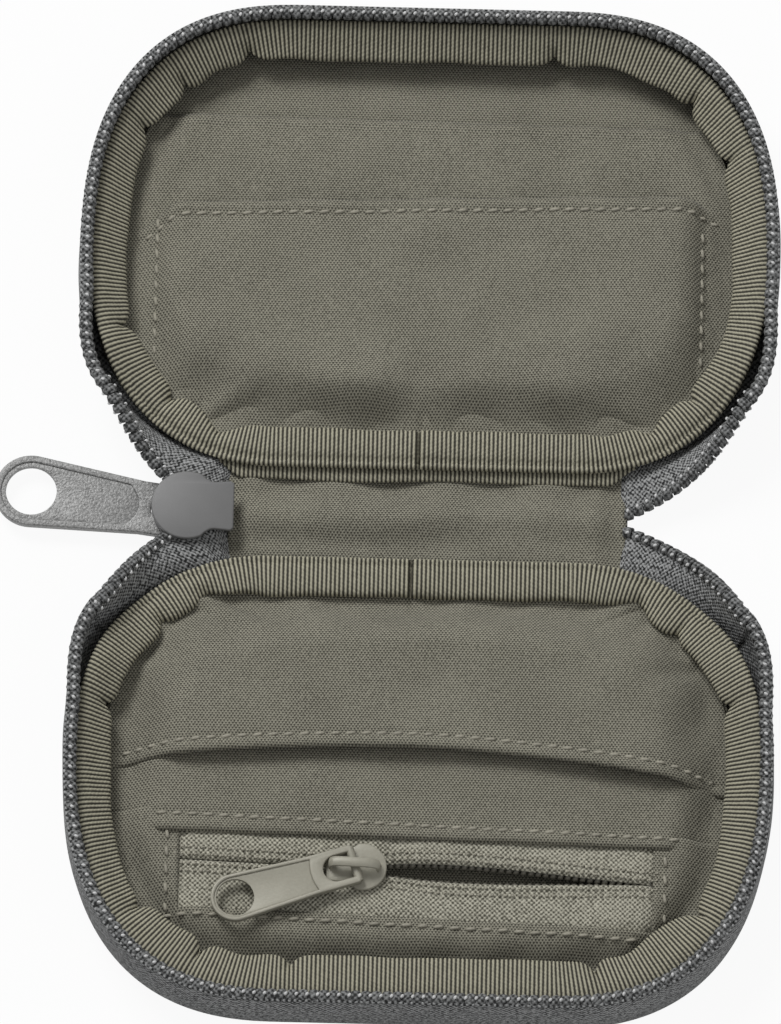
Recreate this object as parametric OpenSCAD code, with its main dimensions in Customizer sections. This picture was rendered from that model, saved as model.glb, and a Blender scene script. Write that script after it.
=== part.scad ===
// Zip-around bifold wallet, lying open on its back with its lining up.
// The spine strip runs along X through the origin. The card half lies at +Y, the coin half at -Y.
// Each half is drawn in its own frame, where v runs from the fold line to the far rim.

/* [Halves] */
// Width of each outer panel
wallet_w = 115.2; // [106:0.2:126]
// Depth of each outer panel, from its fold line to its far edge
half_d = 75.6; // [72:0.2:84]
// Height of the zip rim above the table
rim_h = 12.5; // [12.2:0.1:14]
// Gap between the two rims when the wallet is shut
rim_gap = 0.5; // [0.3:0.1:0.9]
// Width of the corners beside the spine
near_corner_w = 25; // [22:0.5:27]
// Depth of the corners beside the spine
near_corner_d = 31.5; // [28:0.5:35]
// Width of the corners at the far edge
far_corner_w = 36; // [30:0.5:42]
// Thickness of the outer cloth
outer_t = 0.8; // [0.6:0.1:1.2]
// Thickness of the foam between outer cloth and lining
foam_t = 1.0; // [0.6:0.1:1.4]
// Thickness of the lining cloth
lining_t = 0.4; // [0.3:0.1:0.6]
// Step from the edge of the panel to the edge of the lining
lining_step = 1.4; // [1:0.1:2]
// Step from the edge of the panel to the edge of the foam
foam_step = 2.2; // [1.5:0.1:4]

/* [Spine] */
// Step from the side of the wallet to the end of the spine strip
spine_step = 24.6; // [22.6:0.1:25]
// Thickness of the spine's outer cloth
spine_outer_t = 0.7; // [0.5:0.1:1]
// Thickness of the spine's core, and of the zip tails sewn in beside it
spine_core_t = 0.5; // [0.4:0.1:0.8]
// Thickness of the spine's lining
spine_lining_t = 0.4; // [0.3:0.1:0.6]
// Clear gap on each side of a fold line
fold_clear = 0.2; // [0.15:0.05:0.4]
// Length of zip tail sewn into each end of the spine
tail_l = 6; // [4:0.5:9]

/* [Edge binding] */
// Width of the bound seam that stands inside the rim
binding_w = 6.6; // [5.5:0.1:6.7]
// Thickness of the bound seam
binding_t = 2.2; // [1.6:0.1:2.6]
// Distance from the panel's edge to the middle of the binding
binding_in = 4.9; // [4.6:0.1:6]
// Lap of the binding's middle over the spine
binding_lap = 1.2; // [0.6:0.1:1.8]
// Width of the binding's corners beside the spine
binding_corner_w = 28; // [26:0.5:32]
// Height of the binding's middle along the rim
binding_z = 5.4; // [5.2:0.1:6]
// Height of the binding's middle along the spine
binding_spine_z = 4.3; // [4.2:0.1:4.8]
// Slope of the binding along the rim
binding_tilt = 25; // [15:1:32]

/* [Main zip] */
// Thickness of the zip tape that forms the side wall
tape_t = 0.7; // [0.5:0.1:0.8]
// Step from the panel's edge to the outside of the tape
tape_step = 0.1; // [0:0.05:0.3]
// Height of the coil along the rim
coil_h = 2.2; // [1.8:0.1:2.6]
// Reach of the coil inside the panel's edge
coil_in = 1.0; // [0.9:0.05:1.3]
// Reach of the coil's loops past the panel's edge
coil_out = 0.7; // [0.4:0.05:0.9]
// Height of the loops on the coil's edge
loop_h = 0.6; // [0.3:0.05:0.8]
// Spacing of the coil's loops
loop_pitch = 1.7; // [1.4:0.1:2.4]
// Turn of each near corner, in degrees, at which the tape starts to fan out to the spine
fan_start = 42; // [36:1:48]

/* [Main slider and pull] */
// Radius of the slider's round nose
nose_r = 5.75; // [5.2:0.05:6.2]
// Width of the slider's tail
slider_tail_w = 8.4; // [7.6:0.1:9]
// Length of the slider's tail past the middle of its nose
slider_tail = 7.7; // [7:0.1:8.5]
// Lap of the slider's tail over the spine strip
slider_lap = 1.7; // [0.5:0.1:2]
// Thickness of each slider plate
plate_t = 0.7; // [0.6:0.05:0.8]
// Height of the channel between the plates
channel_h = 2.2; // [2.1:0.05:2.4]
// Clear height between the table and the slider's bail
bail_floor = 0.2; // [0.1:0.05:0.4]
// Thickness of the bail's bar
bail_t = 0.8; // [0.7:0.05:0.9]
// Length of the bail
bail_l = 8.4; // [7.6:0.1:8.6]
// Width of the bail
bail_w = 2; // [1.6:0.1:2.2]
// Radius of the pull's hinge pin
pin_r = 0.8; // [0.75:0.05:0.85]
// Clear height above and below the pin in its bail
pin_clear = 0.15; // [0.1:0.05:0.2]
// Thickness of the pull
pull_t = 1.5; // [1.3:0.05:1.55]
// Distance from the hinge pin to the middle of the pull's ring
pull_reach = 25; // [20:0.5:32]
// Outer radius of the pull's ring
ring_r = 6.1; // [5.6:0.1:7]
// Radius of the hole in the pull's ring
ring_hole_r = 4.2; // [3.5:0.1:4.6]
// Width of the pull where it meets the slider
pull_w = 9; // [8.6:0.1:10]
// Turn of the pull off the spine's own line
pull_turn = 7.5; // [0:0.5:12]
// Travel of the slider along the opened coil
slider_travel = 8; // [4:0.5:9]

/* [Card pockets] */
// Thickness of the pocket cloth
cloth_t = 0.5; // [0.4:0.05:0.6]
// Clear gap between the binding and the pockets
pocket_clear = 0.5; // [0.4:0.1:1]
// Clear depth of the rear card pocket
rear_gap = 0.8; // [0.8:0.1:1.2]
// Distance from the fold line to the mouth of the rear card pocket
rear_mouth = 58.5; // [54:0.5:61]
// Half width of the rear card pocket
rear_half_w = 47.6; // [46.8:0.1:48.4]
// Clear depth of the front card pocket
card_gap = 4.3; // [4.2:0.1:4.6]
// Distance from the fold line to the mouth of the front card pocket
card_mouth = 43.4; // [38:0.5:50]
// Half width of the front card pocket
card_half_w = 46.2; // [45:0.1:46.6]

/* [Coin and note pockets] */
// Clear depth of the coin pocket
coin_gap = 4.3; // [4.2:0.1:4.5]
// Distance from the half's far edge to the coin zip
zip_back = 24.2; // [23.2:0.2:26.6]
// Slope of the coin zip across the half
zip_slope = 2; // [0:0.5:3]
// Length of the window around the coin zip
window_l = 77.3; // [72:0.1:80]
// Distance from the coin zip to the hem above it
header_q = 7.2; // [6.5:0.1:8]
// Distance from the coin zip to the window's lower edge
window_q = 6.2; // [5.8:0.1:7]
// Clear depth of the note pocket
note_gap = 2.4; // [1.6:0.1:2.6]
// Distance from the fold line to the mouth of the note pocket
note_mouth = 30.5; // [26:0.5:33]

/* [Coin zip] */
// Thickness of the coin zip's tapes
coin_tape_t = 0.5; // [0.4:0.05:0.6]
// Length of tape sewn under the cloth around the window
tape_lap = 2.6; // [2:0.1:3]
// Half width of the slit between the closed tapes
slit = 0.55; // [0.5:0.05:0.7]
// Widest gap between the opened tapes
mouth_open = 6; // [5.8:0.1:6.4]
// Height of the coil behind the tapes
coin_coil_h = 1.3; // [1:0.1:1.4]
// Width of one strand of the coil
coin_coil_w = 1.75; // [1.4:0.05:1.9]
// Reach of the coil's loops past the tape's edge
coin_loop = 0.45; // [0.35:0.05:0.45]
// Spacing of the coil's loops
coin_pitch = 1.4; // [1.2:0.1:2]

/* [Coin slider and pull] */
// Place of the middle of the slider's nose along the zip
coin_nose_p = -8.7; // [-14:0.1:-4]
// Radius of the slider's nose
coin_nose_r = 4; // [3.6:0.05:4.3]
// Width of the slider's tail
coin_tail_w = 5.5; // [5.3:0.1:6]
// Length of the slider's tail past the middle of its nose
coin_tail = 6; // [5.8:0.1:7]
// Clear height around the tape and the coil in the slider's channel
coin_clear = 0.25; // [0.2:0.05:0.3]
// Width of the post that joins the slider's plates
post_w = 0.7; // [0.5:0.05:0.75]
// Width of the coin slider's bail
coin_bail_w = 1.6; // [1.4:0.1:1.8]
// Radius of the coin pull's hinge pin
coin_pin_r = 0.7; // [0.65:0.05:0.75]
// Thickness of the coin pull
coin_pull_t = 1.3; // [1.1:0.05:1.35]
// Distance from the coin pull's pin to the middle of its ring
coin_reach = 20.2; // [17:0.2:23]
// Outer radius of the coin pull's ring
coin_ring_r = 4; // [3.8:0.1:4.6]
// Radius of the hole in the coin pull's ring
coin_hole_r = 3.1; // [2.4:0.1:3.2]
// Turn of the coin pull off the zip's own line
coin_turn = 20; // [10:0.5:22]
// Travel of the coin slider towards the closed end
coin_back = 8; // [4:0.5:16]
// Travel of the coin slider towards the open end
coin_ahead = 40; // [30:0.5:41]

/* [Stitching] */
// Spacing of the stitches
stitch_pitch = 2.55; // [2:0.05:4]
// Length of one stitch
stitch_l = 1.9; // [1:0.1:1.95]
// Thickness of the thread
thread_t = 0.35; // [0.2:0.05:0.5]
// Distance from a hem to its row of stitches
hem_step = 2.1; // [1.5:0.1:3]

/* [Hidden] */
$fn = 64;

outer_colour = "dimgray";
zip_colour = "#4b4d4d";
cloth_colour = "#77725f";
binding_colour = "#7d7a68";
metal_colour = "gray";
cream_colour = "#b9b39c";

// Heights of the stacked layers, and the fold lines
spine_l = wallet_w - 2 * spine_step;
zip_v = half_d - zip_back;
panel_t = outer_t + foam_t + lining_t;
fold_z = spine_outer_t + spine_core_t + spine_lining_t;
fold_y = rim_h - fold_z + rim_gap / 2;
far_edge = 2 * half_d;

// Outlines of the panel and of the binding: half width, near edge, far edge, corner widths
near_power = 2.2;
far_power = 2.5;
corner_steps = 14;
widest_v = near_corner_d + fold_clear;
panel = [wallet_w / 2, fold_clear, half_d, near_corner_w, far_corner_w];
binding = [
    wallet_w / 2 - binding_in, -binding_lap, half_d - binding_in,
    binding_corner_w, far_corner_w - binding_in
];
pocket_step = binding_w / 2 + pocket_clear;

// Heights of the pockets
rear_z = panel_t + rear_gap;
card_base = rear_z + cloth_t;
card_z = card_base + card_gap;
coin_z = panel_t + coin_gap;
note_base = coin_z + cloth_t;
note_z = note_base + note_gap;

// Heights and places of the main slider
plate_z = bail_floor + bail_t + 2 * (pin_r + pin_clear);
channel_z = plate_z + plate_t;
chain_z = channel_z + channel_h / 2;
top_z = channel_z + channel_h;
note_from = top_z + plate_t - fold_z + pocket_clear;
pin_z = plate_z - pin_clear - pin_r;
slider_x = -(spine_l / 2 + slider_tail - slider_lap);
low_tail = 3.3;
bail_x = slider_x + low_tail - bail_l / 2 - 0.1;
leg_l = 0.9;
eye_clear = 1;
eye_side = 1.4;
stub_clear = 0.35;
stub_step = 2;
stub_w = 4.2;

// Heights and places of the coin slider, along and across its zip
coin_tape_z = coin_z - coin_tape_t;
coin_coil_z = coin_tape_z - coin_coil_h;
coin_low_z = coin_coil_z - coin_clear - plate_t;
coin_top_z = coin_z + coin_clear;
coin_pin_z = coin_top_z + plate_t + pin_clear + coin_pin_r;
coin_bail_z = coin_pin_z + coin_pin_r + pin_clear;
coin_bail_p = coin_nose_p - coin_tail + 0.5 + bail_l / 2;
coin_tape_l = window_l + 2 * tape_lap;
mouth_from = coin_nose_p - 0.3;
mouth_to = window_l / 2 - 0.6;
join = 0.2;

// Outlines
function mix(a, b, f) = a + (b - a) * f;
function ease(f) = let (g = min(1, max(0, f))) g * g * (3 - 2 * g);
function unit(p) = p / norm(p);
function corner(g, inset, side, end, t) =
    let (
        near = end < 0,
        reach_x = near ? g[3] : g[4],
        reach_v = near ? widest_v - g[1] : g[2] - widest_v,
        power = near ? near_power : far_power
    )
    [
        side * (g[0] - reach_x + (reach_x - inset) * pow(cos(t), 2 / power)),
        widest_v + end * (reach_v - inset) * pow(sin(t), 2 / power)
    ];
function ring(g, inset, start = 90) = let (s = 90 / corner_steps) [
    for (i = [0:corner_steps]) corner(g, inset, 1, -1, start * (1 - i / corner_steps)),
    for (i = [1:corner_steps]) corner(g, inset, 1, 1, s * i),
    for (i = [0:corner_steps]) corner(g, inset, -1, 1, 90 - s * i),
    for (i = [1:corner_steps]) corner(g, inset, -1, -1, start * i / corner_steps)
];
function reversed(list) = [for (i = [len(list) - 1:-1:0]) list[i]];
function lengths(p, i = 0, sum = 0) =
    i == len(p) - 1 ? [sum] : concat([sum], lengths(p, i + 1, sum + norm(p[i + 1] - p[i])));
function table(keys, p, axis) = [for (i = [0:len(p) - 1]) [keys[i], p[i][axis]]];

// Places of the halves and of the coin zip
module upper() {
    translate([0, fold_y, 0]) children();
}
module lower() {
    mirror([0, 1, 0]) upper() children();
}
module along_zip(z = 0) {
    lower() translate([0, zip_v, z]) rotate(zip_slope) children();
}

// Layers of one half
module layer(z, thick, inset) {
    translate([0, 0, z]) linear_extrude(thick) polygon(ring(panel, inset));
}
module outer_panel() {
    color(outer_colour) layer(0, outer_t, 0);
}
module foam() {
    color("lightgray") layer(outer_t, foam_t, foam_step);
}
module lining() {
    color(cloth_colour) layer(outer_t + foam_t, lining_t, lining_step);
}
module zip_tape() {
    outside = ring(panel, tape_step, fan_start);
    inside = ring(panel, tape_step + tape_t, fan_start);
    color(zip_colour) translate([0, 0, outer_t])
        linear_extrude(rim_h - coil_h - outer_t) polygon(concat(outside, reversed(inside)));
}
module zip_coil() {
    inner = ring(panel, coil_in, fan_start);
    root = ring(panel, loop_h - coil_out, fan_start);
    tip = ring(panel, -coil_out, fan_start);
    keys = lengths(root);
    count = floor(keys[len(keys) - 1] / loop_pitch);
    pitch = keys[len(keys) - 1] / count;
    root_x = table(keys, root, 0);
    root_v = table(keys, root, 1);
    tip_x = table(keys, tip, 0);
    tip_v = table(keys, tip, 1);
    function low(s) = [lookup(s, root_x), lookup(s, root_v)];
    function high(s) = [lookup(s, tip_x), lookup(s, tip_v)];
    loops = [
        for (i = [0:count - 1])
            each [low((i + 0.1) * pitch), high((i + 0.3) * pitch), high((i + 0.65) * pitch), low((i + 0.85) * pitch)]
    ];
    color(zip_colour) translate([0, 0, rim_h - coil_h])
        linear_extrude(coil_h) polygon(concat(loops, reversed(inner)));
}

// Bound seam: a flattened oval swept round the half, sloping up to the rim and lying flat at the spine
module bound_seam() {
    path = ring(binding, 0);
    outward = ring(binding, -1);
    sides = 8;
    flat_from = 20;
    flat_to = 5;
    rows = [
        for (i = [0:len(path) - 1])
            let (
                n = unit(outward[i] - path[i]),
                flat = ease((flat_from - path[i][1]) / (flat_from - flat_to)),
                tilt = binding_tilt * (1 - flat),
                z = mix(binding_z, binding_spine_z, flat)
            )
            [
                for (k = [0:sides - 1])
                    let (
                        a = 360 * (k + 0.5) / sides,
                        u = binding_w / 2 * cos(a) / cos(180 / sides),
                        w = binding_t / 2 * sin(a) / cos(180 / sides),
                        out = u * cos(tilt) - w * sin(tilt)
                    )
                    [path[i][0] + n[0] * out, path[i][1] + n[1] * out, z + u * sin(tilt) + w * cos(tilt)]
            ]
    ];
    total = len(rows) * sides;
    function at(i, k) = (i * sides + k % sides) % total;
    faces = [
        for (i = [0:len(rows) - 1], k = [0:sides - 1])
            each [[at(i, k), at(i, k + 1), at(i + 1, k)], [at(i + 1, k), at(i, k + 1), at(i + 1, k + 1)]]
    ];
    color(binding_colour) polyhedron([for (r = rows) each r], faces);
}

// Fanned end of the zip: the upright tape turns flat as it runs round the near corner to the spine.
// Its sewn edge follows the panel, and its coil follows a curve from the rim to the slider or the spine.
module zip_end(side, end, approach) {
    fractions = [0, 0.38, 0.55, 1];
    halves = [tape_t / 2, tape_t / 2, 0.45, 0.7];
    lifts = [0, 0, 0.4, 0];
    steps = 12;
    clear_turn = 0.8;
    top_step = 0.4;
    depart = [side * 1.5, -8.5, -1.5];
    base = max(0, spine_l / 2 + 0.3 - panel[0] + near_corner_w) / near_corner_w;
    last = acos(pow(base, near_power / 2));
    function turn(i) = mix(fan_start + clear_turn, last, i / steps);
    function seam(i) = concat(corner(panel, tape_step + tape_t / 2, side, -1, turn(i)), outer_t + tape_t / 2);
    start = [seam(0)[0], seam(0)[1], rim_h - top_step];
    function coil(i) =
        let (f = i / steps, g = 1 - f)
        pow(g, 3) * start + 3 * g * g * f * (start + depart)
        + 3 * g * f * f * (end + approach) + pow(f, 3) * end;
    rows = [
        for (i = [0:steps])
            let (
                along = unit(seam(min(i + 1, steps)) - seam(max(i - 1, 0))),
                chord = coil(i) - seam(i),
                up = unit(cross(along, chord)) * side,
                lift = ease(i / steps) * (end[2] - outer_t)
            )
            [
                for (k = [0:3])
                    seam(i) + fractions[k] * chord + [0, 0, lifts[k] * lift] + up * halves[k],
                for (k = [3:-1:0])
                    seam(i) + fractions[k] * chord + [0, 0, lifts[k] * lift] - up * halves[k]
            ]
    ];
    function at(i, k) = i * 8 + k % 8;
    walls = [
        for (i = [0:steps - 1], k = [0:7])
            each [[at(i, k), at(i, k + 1), at(i + 1, k)], [at(i + 1, k), at(i, k + 1), at(i + 1, k + 1)]]
    ];
    caps = [
        for (k = [0:2])
            each [
                [at(0, k), at(0, 7 - k), at(0, k + 1)], [at(0, k + 1), at(0, 7 - k), at(0, 6 - k)],
                [at(steps, k), at(steps, k + 1), at(steps, 7 - k)],
                [at(steps, k + 1), at(steps, 6 - k), at(steps, 7 - k)]
            ]
    ];
    faces = concat(walls, caps);
    color(zip_colour) polyhedron([for (r = rows) each r], side > 0 ? faces : [for (f = faces) reversed(f)]);
}
module left_end() {
    zip_end(-1, [slider_x - 0.6, 2.3 - fold_y, chain_z], [-7.3, 4.3, 0.1]);
}
module right_end() {
    zip_end(1, [spine_l / 2 + 0.8, 0.75 - fold_y, fold_z + 0.8], [13, 6, 1.6]);
}

// Spine strip and the zip tails sewn into its ends
module spine_layer(z, thick, l) {
    w = 2 * (fold_y - fold_clear);
    translate([-l / 2, -w / 2, z]) cube([l, w, thick]);
}
module spine_outer() {
    color(outer_colour) spine_layer(0, spine_outer_t, spine_l);
}
module spine_core() {
    color("lightgray") spine_layer(spine_outer_t, spine_core_t, spine_l - 2 * (tail_l + join));
}
module spine_lining() {
    color(cloth_colour) spine_layer(spine_outer_t + spine_core_t, spine_lining_t, spine_l);
}
module tail_base() {
    w = 2 * (fold_y - 4 * fold_clear);
    translate([spine_l / 2 - tail_l, -w / 2, spine_outer_t]) cube([tail_l, w, spine_core_t]);
}
module right_zip_tail() {
    color(zip_colour) tail_base();
}
module left_zip_tail() {
    edge = spine_l / 2;
    ramp = 2.9;
    low = channel_z + stub_clear;
    high = top_z - stub_clear;
    profile = [
        [edge - tail_l / 2, spine_outer_t], [edge, spine_outer_t], [edge + ramp, low],
        [-slider_x - stub_step, low], [-slider_x - stub_step, high], [edge + ramp - 0.6, high],
        [edge + 0.05, spine_outer_t + spine_core_t], [edge - tail_l / 2, spine_outer_t + spine_core_t]
    ];
    color(zip_colour) mirror([1, 0, 0]) {
        tail_base();
        translate([0, stub_w / 2, 0]) rotate([90, 0, 0]) linear_extrude(stub_w) polygon(profile);
    }
}

// Slider parts that both zips share: plates with a round nose, a bail, and a flat pull with an eye
module slider_plate(r, tail_w, tail, thick) {
    linear_extrude(thick) intersection() {
        union() {
            circle(r);
            translate([0, -tail_w / 2]) square([tail, tail_w]);
        }
        translate([-2 * r, -r]) square([2 * r + tail, 2 * r]);
    }
}
module bail(w, leg_h) {
    translate([-bail_l / 2, -w / 2, 0]) cube([bail_l, w, bail_t]);
    for (side = [-1, 1])
        translate([side * (bail_l - leg_l) / 2 - leg_l / 2, -w / 2, bail_t - join])
            cube([leg_l, w, leg_h + 2 * join]);
}
module pull(reach, ring_out, ring_in, w, thick, pin, eye_w) {
    eye_l = bail_l / 2 + eye_clear;
    neck = eye_l + 1.4;
    difference() {
        translate([0, 0, -thick / 2]) linear_extrude(thick) {
            translate([-reach, 0]) circle(ring_out);
            polygon([[0, -w / 2], [0, w / 2], [-neck, w / 2], [-reach, ring_out], [-reach, -ring_out], [-neck, -w / 2]]);
        }
        translate([-reach, 0, -thick]) cylinder(r = ring_in, h = 2 * thick);
        translate([-eye_l, -eye_w / 2, -thick]) cube([2 * eye_l, eye_w, 2 * thick]);
    }
    rotate([90, 0, 0]) cylinder(r = pin, h = w, center = true);
}

module main_slider() {
    post_x = slider_x - nose_r + 1.4;
    lip_h = 0.6;
    lip_w = 0.6;
    lip_from = low_tail + 0.3;
    color(metal_colour) {
        translate([slider_x, 0, top_z]) slider_plate(nose_r, slider_tail_w, slider_tail, plate_t);
        translate([slider_x, 0, plate_z]) slider_plate(nose_r, slider_tail_w, low_tail, plate_t);
        translate([post_x, 0, plate_z + join]) cylinder(r = 0.8, h = top_z - plate_z);
        for (side = [-1, 1])
            translate([slider_x + lip_from, side * (slider_tail_w - lip_w) / 2 - lip_w / 2, top_z - lip_h])
                cube([slider_tail - lip_from, lip_w, lip_h + join]);
        translate([bail_x, 0, bail_floor]) bail(bail_w, plate_z - bail_floor - bail_t);
    }
}
module main_pull() {
    color(metal_colour) translate([bail_x, 0, pin_z]) rotate(-pull_turn)
        pull(pull_reach, ring_r, ring_hole_r, pull_w, pull_t, pin_r, bail_w + 2 * eye_side);
}
module coin_slider() {
    post_l = 1;
    lip_w = 0.5;
    leg = coin_bail_z - coin_top_z - plate_t;
    color(cream_colour) along_zip() {
        translate([coin_nose_p, 0, 0]) {
            translate([0, 0, coin_top_z]) mirror([1, 0, 0])
                slider_plate(coin_nose_r, coin_tail_w, coin_tail, plate_t);
            translate([0, 0, coin_low_z]) mirror([1, 0, 0])
                slider_plate(coin_nose_r, coin_tail_w, coin_tail, plate_t);
            translate([coin_nose_r - post_l - 0.4, -post_w / 2, coin_low_z + join])
                cube([post_l, post_w, coin_top_z - coin_low_z]);
            for (side = [-1, 1])
                translate([-coin_tail, side * (coin_tail_w - lip_w) / 2 - lip_w / 2, coin_low_z + join])
                    cube([coin_tail - 1, lip_w, plate_t + coin_clear]);
        }
        translate([coin_bail_p, 0, coin_bail_z + bail_t]) mirror([0, 0, 1]) bail(coin_bail_w, leg);
    }
}
module coin_pull() {
    color(cream_colour) along_zip(coin_pin_z) translate([coin_bail_p, 0, 0]) rotate(-coin_turn)
        pull(coin_reach, coin_ring_r, coin_hole_r, 2 * coin_ring_r - 1.4, coin_pull_t, coin_pin_r, 5);
}

// Pockets: a flat sheet on a low skirt that is sewn down along the sides and the bottom
module pocket_area(half_w, from, mouth, inset = 0) {
    intersection() {
        polygon(ring(binding, pocket_step + inset));
        translate([inset - half_w, from + inset]) square([2 * (half_w - inset), mouth - from - inset]);
    }
}
module pocket(half_w, mouth, base, gap, from = -half_d) {
    translate([0, 0, base]) linear_extrude(gap) difference() {
        pocket_area(half_w, from, mouth);
        pocket_area(half_w, from, far_edge, cloth_t);
    }
    translate([0, 0, base + gap]) linear_extrude(cloth_t) pocket_area(half_w, from, mouth);
}
module rear_card_pocket() {
    color(cloth_colour) upper() pocket(rear_half_w, rear_mouth, panel_t, rear_gap);
}
module front_card_pocket() {
    color(cloth_colour) upper() pocket(card_half_w, card_mouth, card_base, card_gap);
}
module note_pocket() {
    color(cloth_colour) lower() pocket(wallet_w, note_mouth, note_base, note_gap, note_from);
}

// Coin pocket: a header above the zip and a front with a window for the zip
module zip_side(from, to) {
    translate([0, zip_v]) rotate(zip_slope) translate([-wallet_w, from]) square([2 * wallet_w, to - from]);
}
module coin_area(from, to, inset = 0) {
    intersection() {
        polygon(ring(binding, pocket_step + inset));
        zip_side(from, to);
    }
}
module coin_skirt(from, to) {
    translate([0, 0, panel_t]) linear_extrude(coin_gap) difference() {
        coin_area(from, to);
        coin_area(-far_edge, far_edge, cloth_t);
    }
}
module coin_pocket_header() {
    color(cloth_colour) lower() {
        coin_skirt(-far_edge, -header_q);
        translate([0, 0, coin_z]) linear_extrude(cloth_t) coin_area(-far_edge, -header_q);
    }
}
module coin_pocket_front() {
    color(cloth_colour) lower() {
        coin_skirt(join - header_q, far_edge);
        translate([0, 0, coin_z]) linear_extrude(cloth_t) difference() {
            coin_area(join - header_q, far_edge);
            translate([0, zip_v]) rotate(zip_slope) translate([-window_l / 2, -2 * header_q])
                square([window_l, 2 * header_q + window_q]);
        }
    }
}

// Coin zip: two tapes that part in a lens-shaped mouth ahead of the slider, each with a coil behind its edge
function mouth(p) =
    p <= mouth_from || p >= mouth_to ? slit
    : mix(slit, mouth_open / 2, sin(180 * (p - mouth_from) / (mouth_to - mouth_from)));
module coin_tape(side, far) {
    steps = 40;
    edge = [
        for (i = [0:steps])
            let (p = coin_tape_l * (i / steps - 0.5)) [p, side * mouth(p)]
    ];
    color(cloth_colour) lower() translate([0, 0, coin_tape_z]) linear_extrude(coin_tape_t) intersection() {
        translate([0, zip_v]) rotate(zip_slope)
            polygon(concat(edge, [[coin_tape_l / 2, side * far], [-coin_tape_l / 2, side * far]]));
        polygon(ring(binding, pocket_step + cloth_t + join));
    }
}
module coin_coil(side) {
    count = floor(coin_tape_l / coin_pitch);
    pitch = coin_tape_l / count;
    function at(i, f, past) = let (p = (i + f) * pitch - coin_tape_l / 2) [p, side * (mouth(p) - past)];
    loops = [
        for (i = [0:count - 1])
            each [at(i, 0.1, 0), at(i, 0.3, coin_loop), at(i, 0.65, coin_loop), at(i, 0.85, 0)]
    ];
    back = [for (i = [count - 1:-1:0]) at(i, 0.5, coin_loop - coin_coil_w)];
    color(zip_colour) along_zip(coin_coil_z) linear_extrude(coin_coil_h) polygon(concat(loops, back));
}
module coin_zip_tape_upper() {
    coin_tape(-1, header_q + tape_lap);
}
module coin_zip_tape_lower() {
    coin_tape(1, window_q + tape_lap);
}
module coin_zip_coil_upper() {
    coin_coil(-1);
}
module coin_zip_coil_lower() {
    coin_coil(1);
}

// Rows of stitches laid on the cloth
module stitch_row(from, to) {
    run = to - from;
    count = floor(norm(run) / stitch_pitch);
    translate(from) rotate(atan2(run[1], run[0]))
        for (i = [0:count - 1])
            translate([(i + 0.5) * norm(run) / count - stitch_l / 2, -thread_t / 2])
                cube([stitch_l, thread_t, thread_t]);
}
module card_pocket_stitching() {
    row_v = card_mouth - hem_step;
    row_x = card_half_w - 1.8;
    side_from = 22;
    color(binding_colour) upper() translate([0, 0, card_z + cloth_t]) {
        stitch_row([-row_x, row_v], [row_x, row_v]);
        for (side = [-1, 1]) stitch_row([side * row_x, side_from], [side * row_x, row_v - hem_step]);
    }
}
module note_pocket_stitching() {
    row_x = binding[0] - pocket_step - 2.5;
    color(binding_colour) lower() translate([0, 0, note_z + cloth_t])
        stitch_row([-row_x, note_mouth - hem_step], [row_x, note_mouth - hem_step]);
}
module header_stitching() {
    row_x = window_l / 2 + 3;
    color(binding_colour) along_zip(coin_z + cloth_t)
        stitch_row([-row_x, -header_q - hem_step], [row_x, -header_q - hem_step]);
}
module coin_window_stitching() {
    row_x = window_l / 2 + 1.6;
    row_q = window_q + 1.6;
    color(binding_colour) along_zip(coin_z + cloth_t) {
        stitch_row([-row_x, row_q], [row_x, row_q]);
        for (side = [-1, 1]) stitch_row([side * row_x, 1 - header_q], [side * row_x, row_q - 1]);
    }
}

lower() outer_panel();  // lower_outer_panel
lower() foam();  // lower_foam
lower() lining();  // lower_lining
lower() zip_tape();  // lower_zip_tape
lower() zip_coil();  // lower_zip_coil
lower() bound_seam();  // lower_binding
lower() left_end();  // lower_left_zip_end
lower() right_end();  // lower_right_zip_end
coin_pocket_header();
coin_pocket_front();
note_pocket();
coin_zip_tape_upper();
coin_zip_tape_lower();
coin_zip_coil_upper();
coin_zip_coil_lower();
header_stitching();
coin_window_stitching();
note_pocket_stitching();
spine_outer();
spine_core();
spine_lining();
left_zip_tail();
right_zip_tail();
upper() outer_panel();  // upper_outer_panel
upper() foam();  // upper_foam
upper() lining();  // upper_lining
upper() zip_tape();  // upper_zip_tape
upper() zip_coil();  // upper_zip_coil
upper() bound_seam();  // upper_binding
upper() left_end();  // upper_left_zip_end
upper() right_end();  // upper_right_zip_end
rear_card_pocket();
front_card_pocket();
card_pocket_stitching();
main_slider();
main_pull();
coin_slider();
coin_pull();
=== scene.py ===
# %% [markdown]
# # A zip-around wallet, dressed in cloth
# The solids of the wallet are already packed, with their joints. This lesson loads them as a fixed frame and
# replaces every soft solid with a piece that has the softness, weave and stitching of the real one.
# Sizes are written in millimetres and become metres where a mesh is made.

import math
from collections import namedtuple

import bmesh
import bpy
import numpy as np
from mathutils import Matrix, Vector


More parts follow.
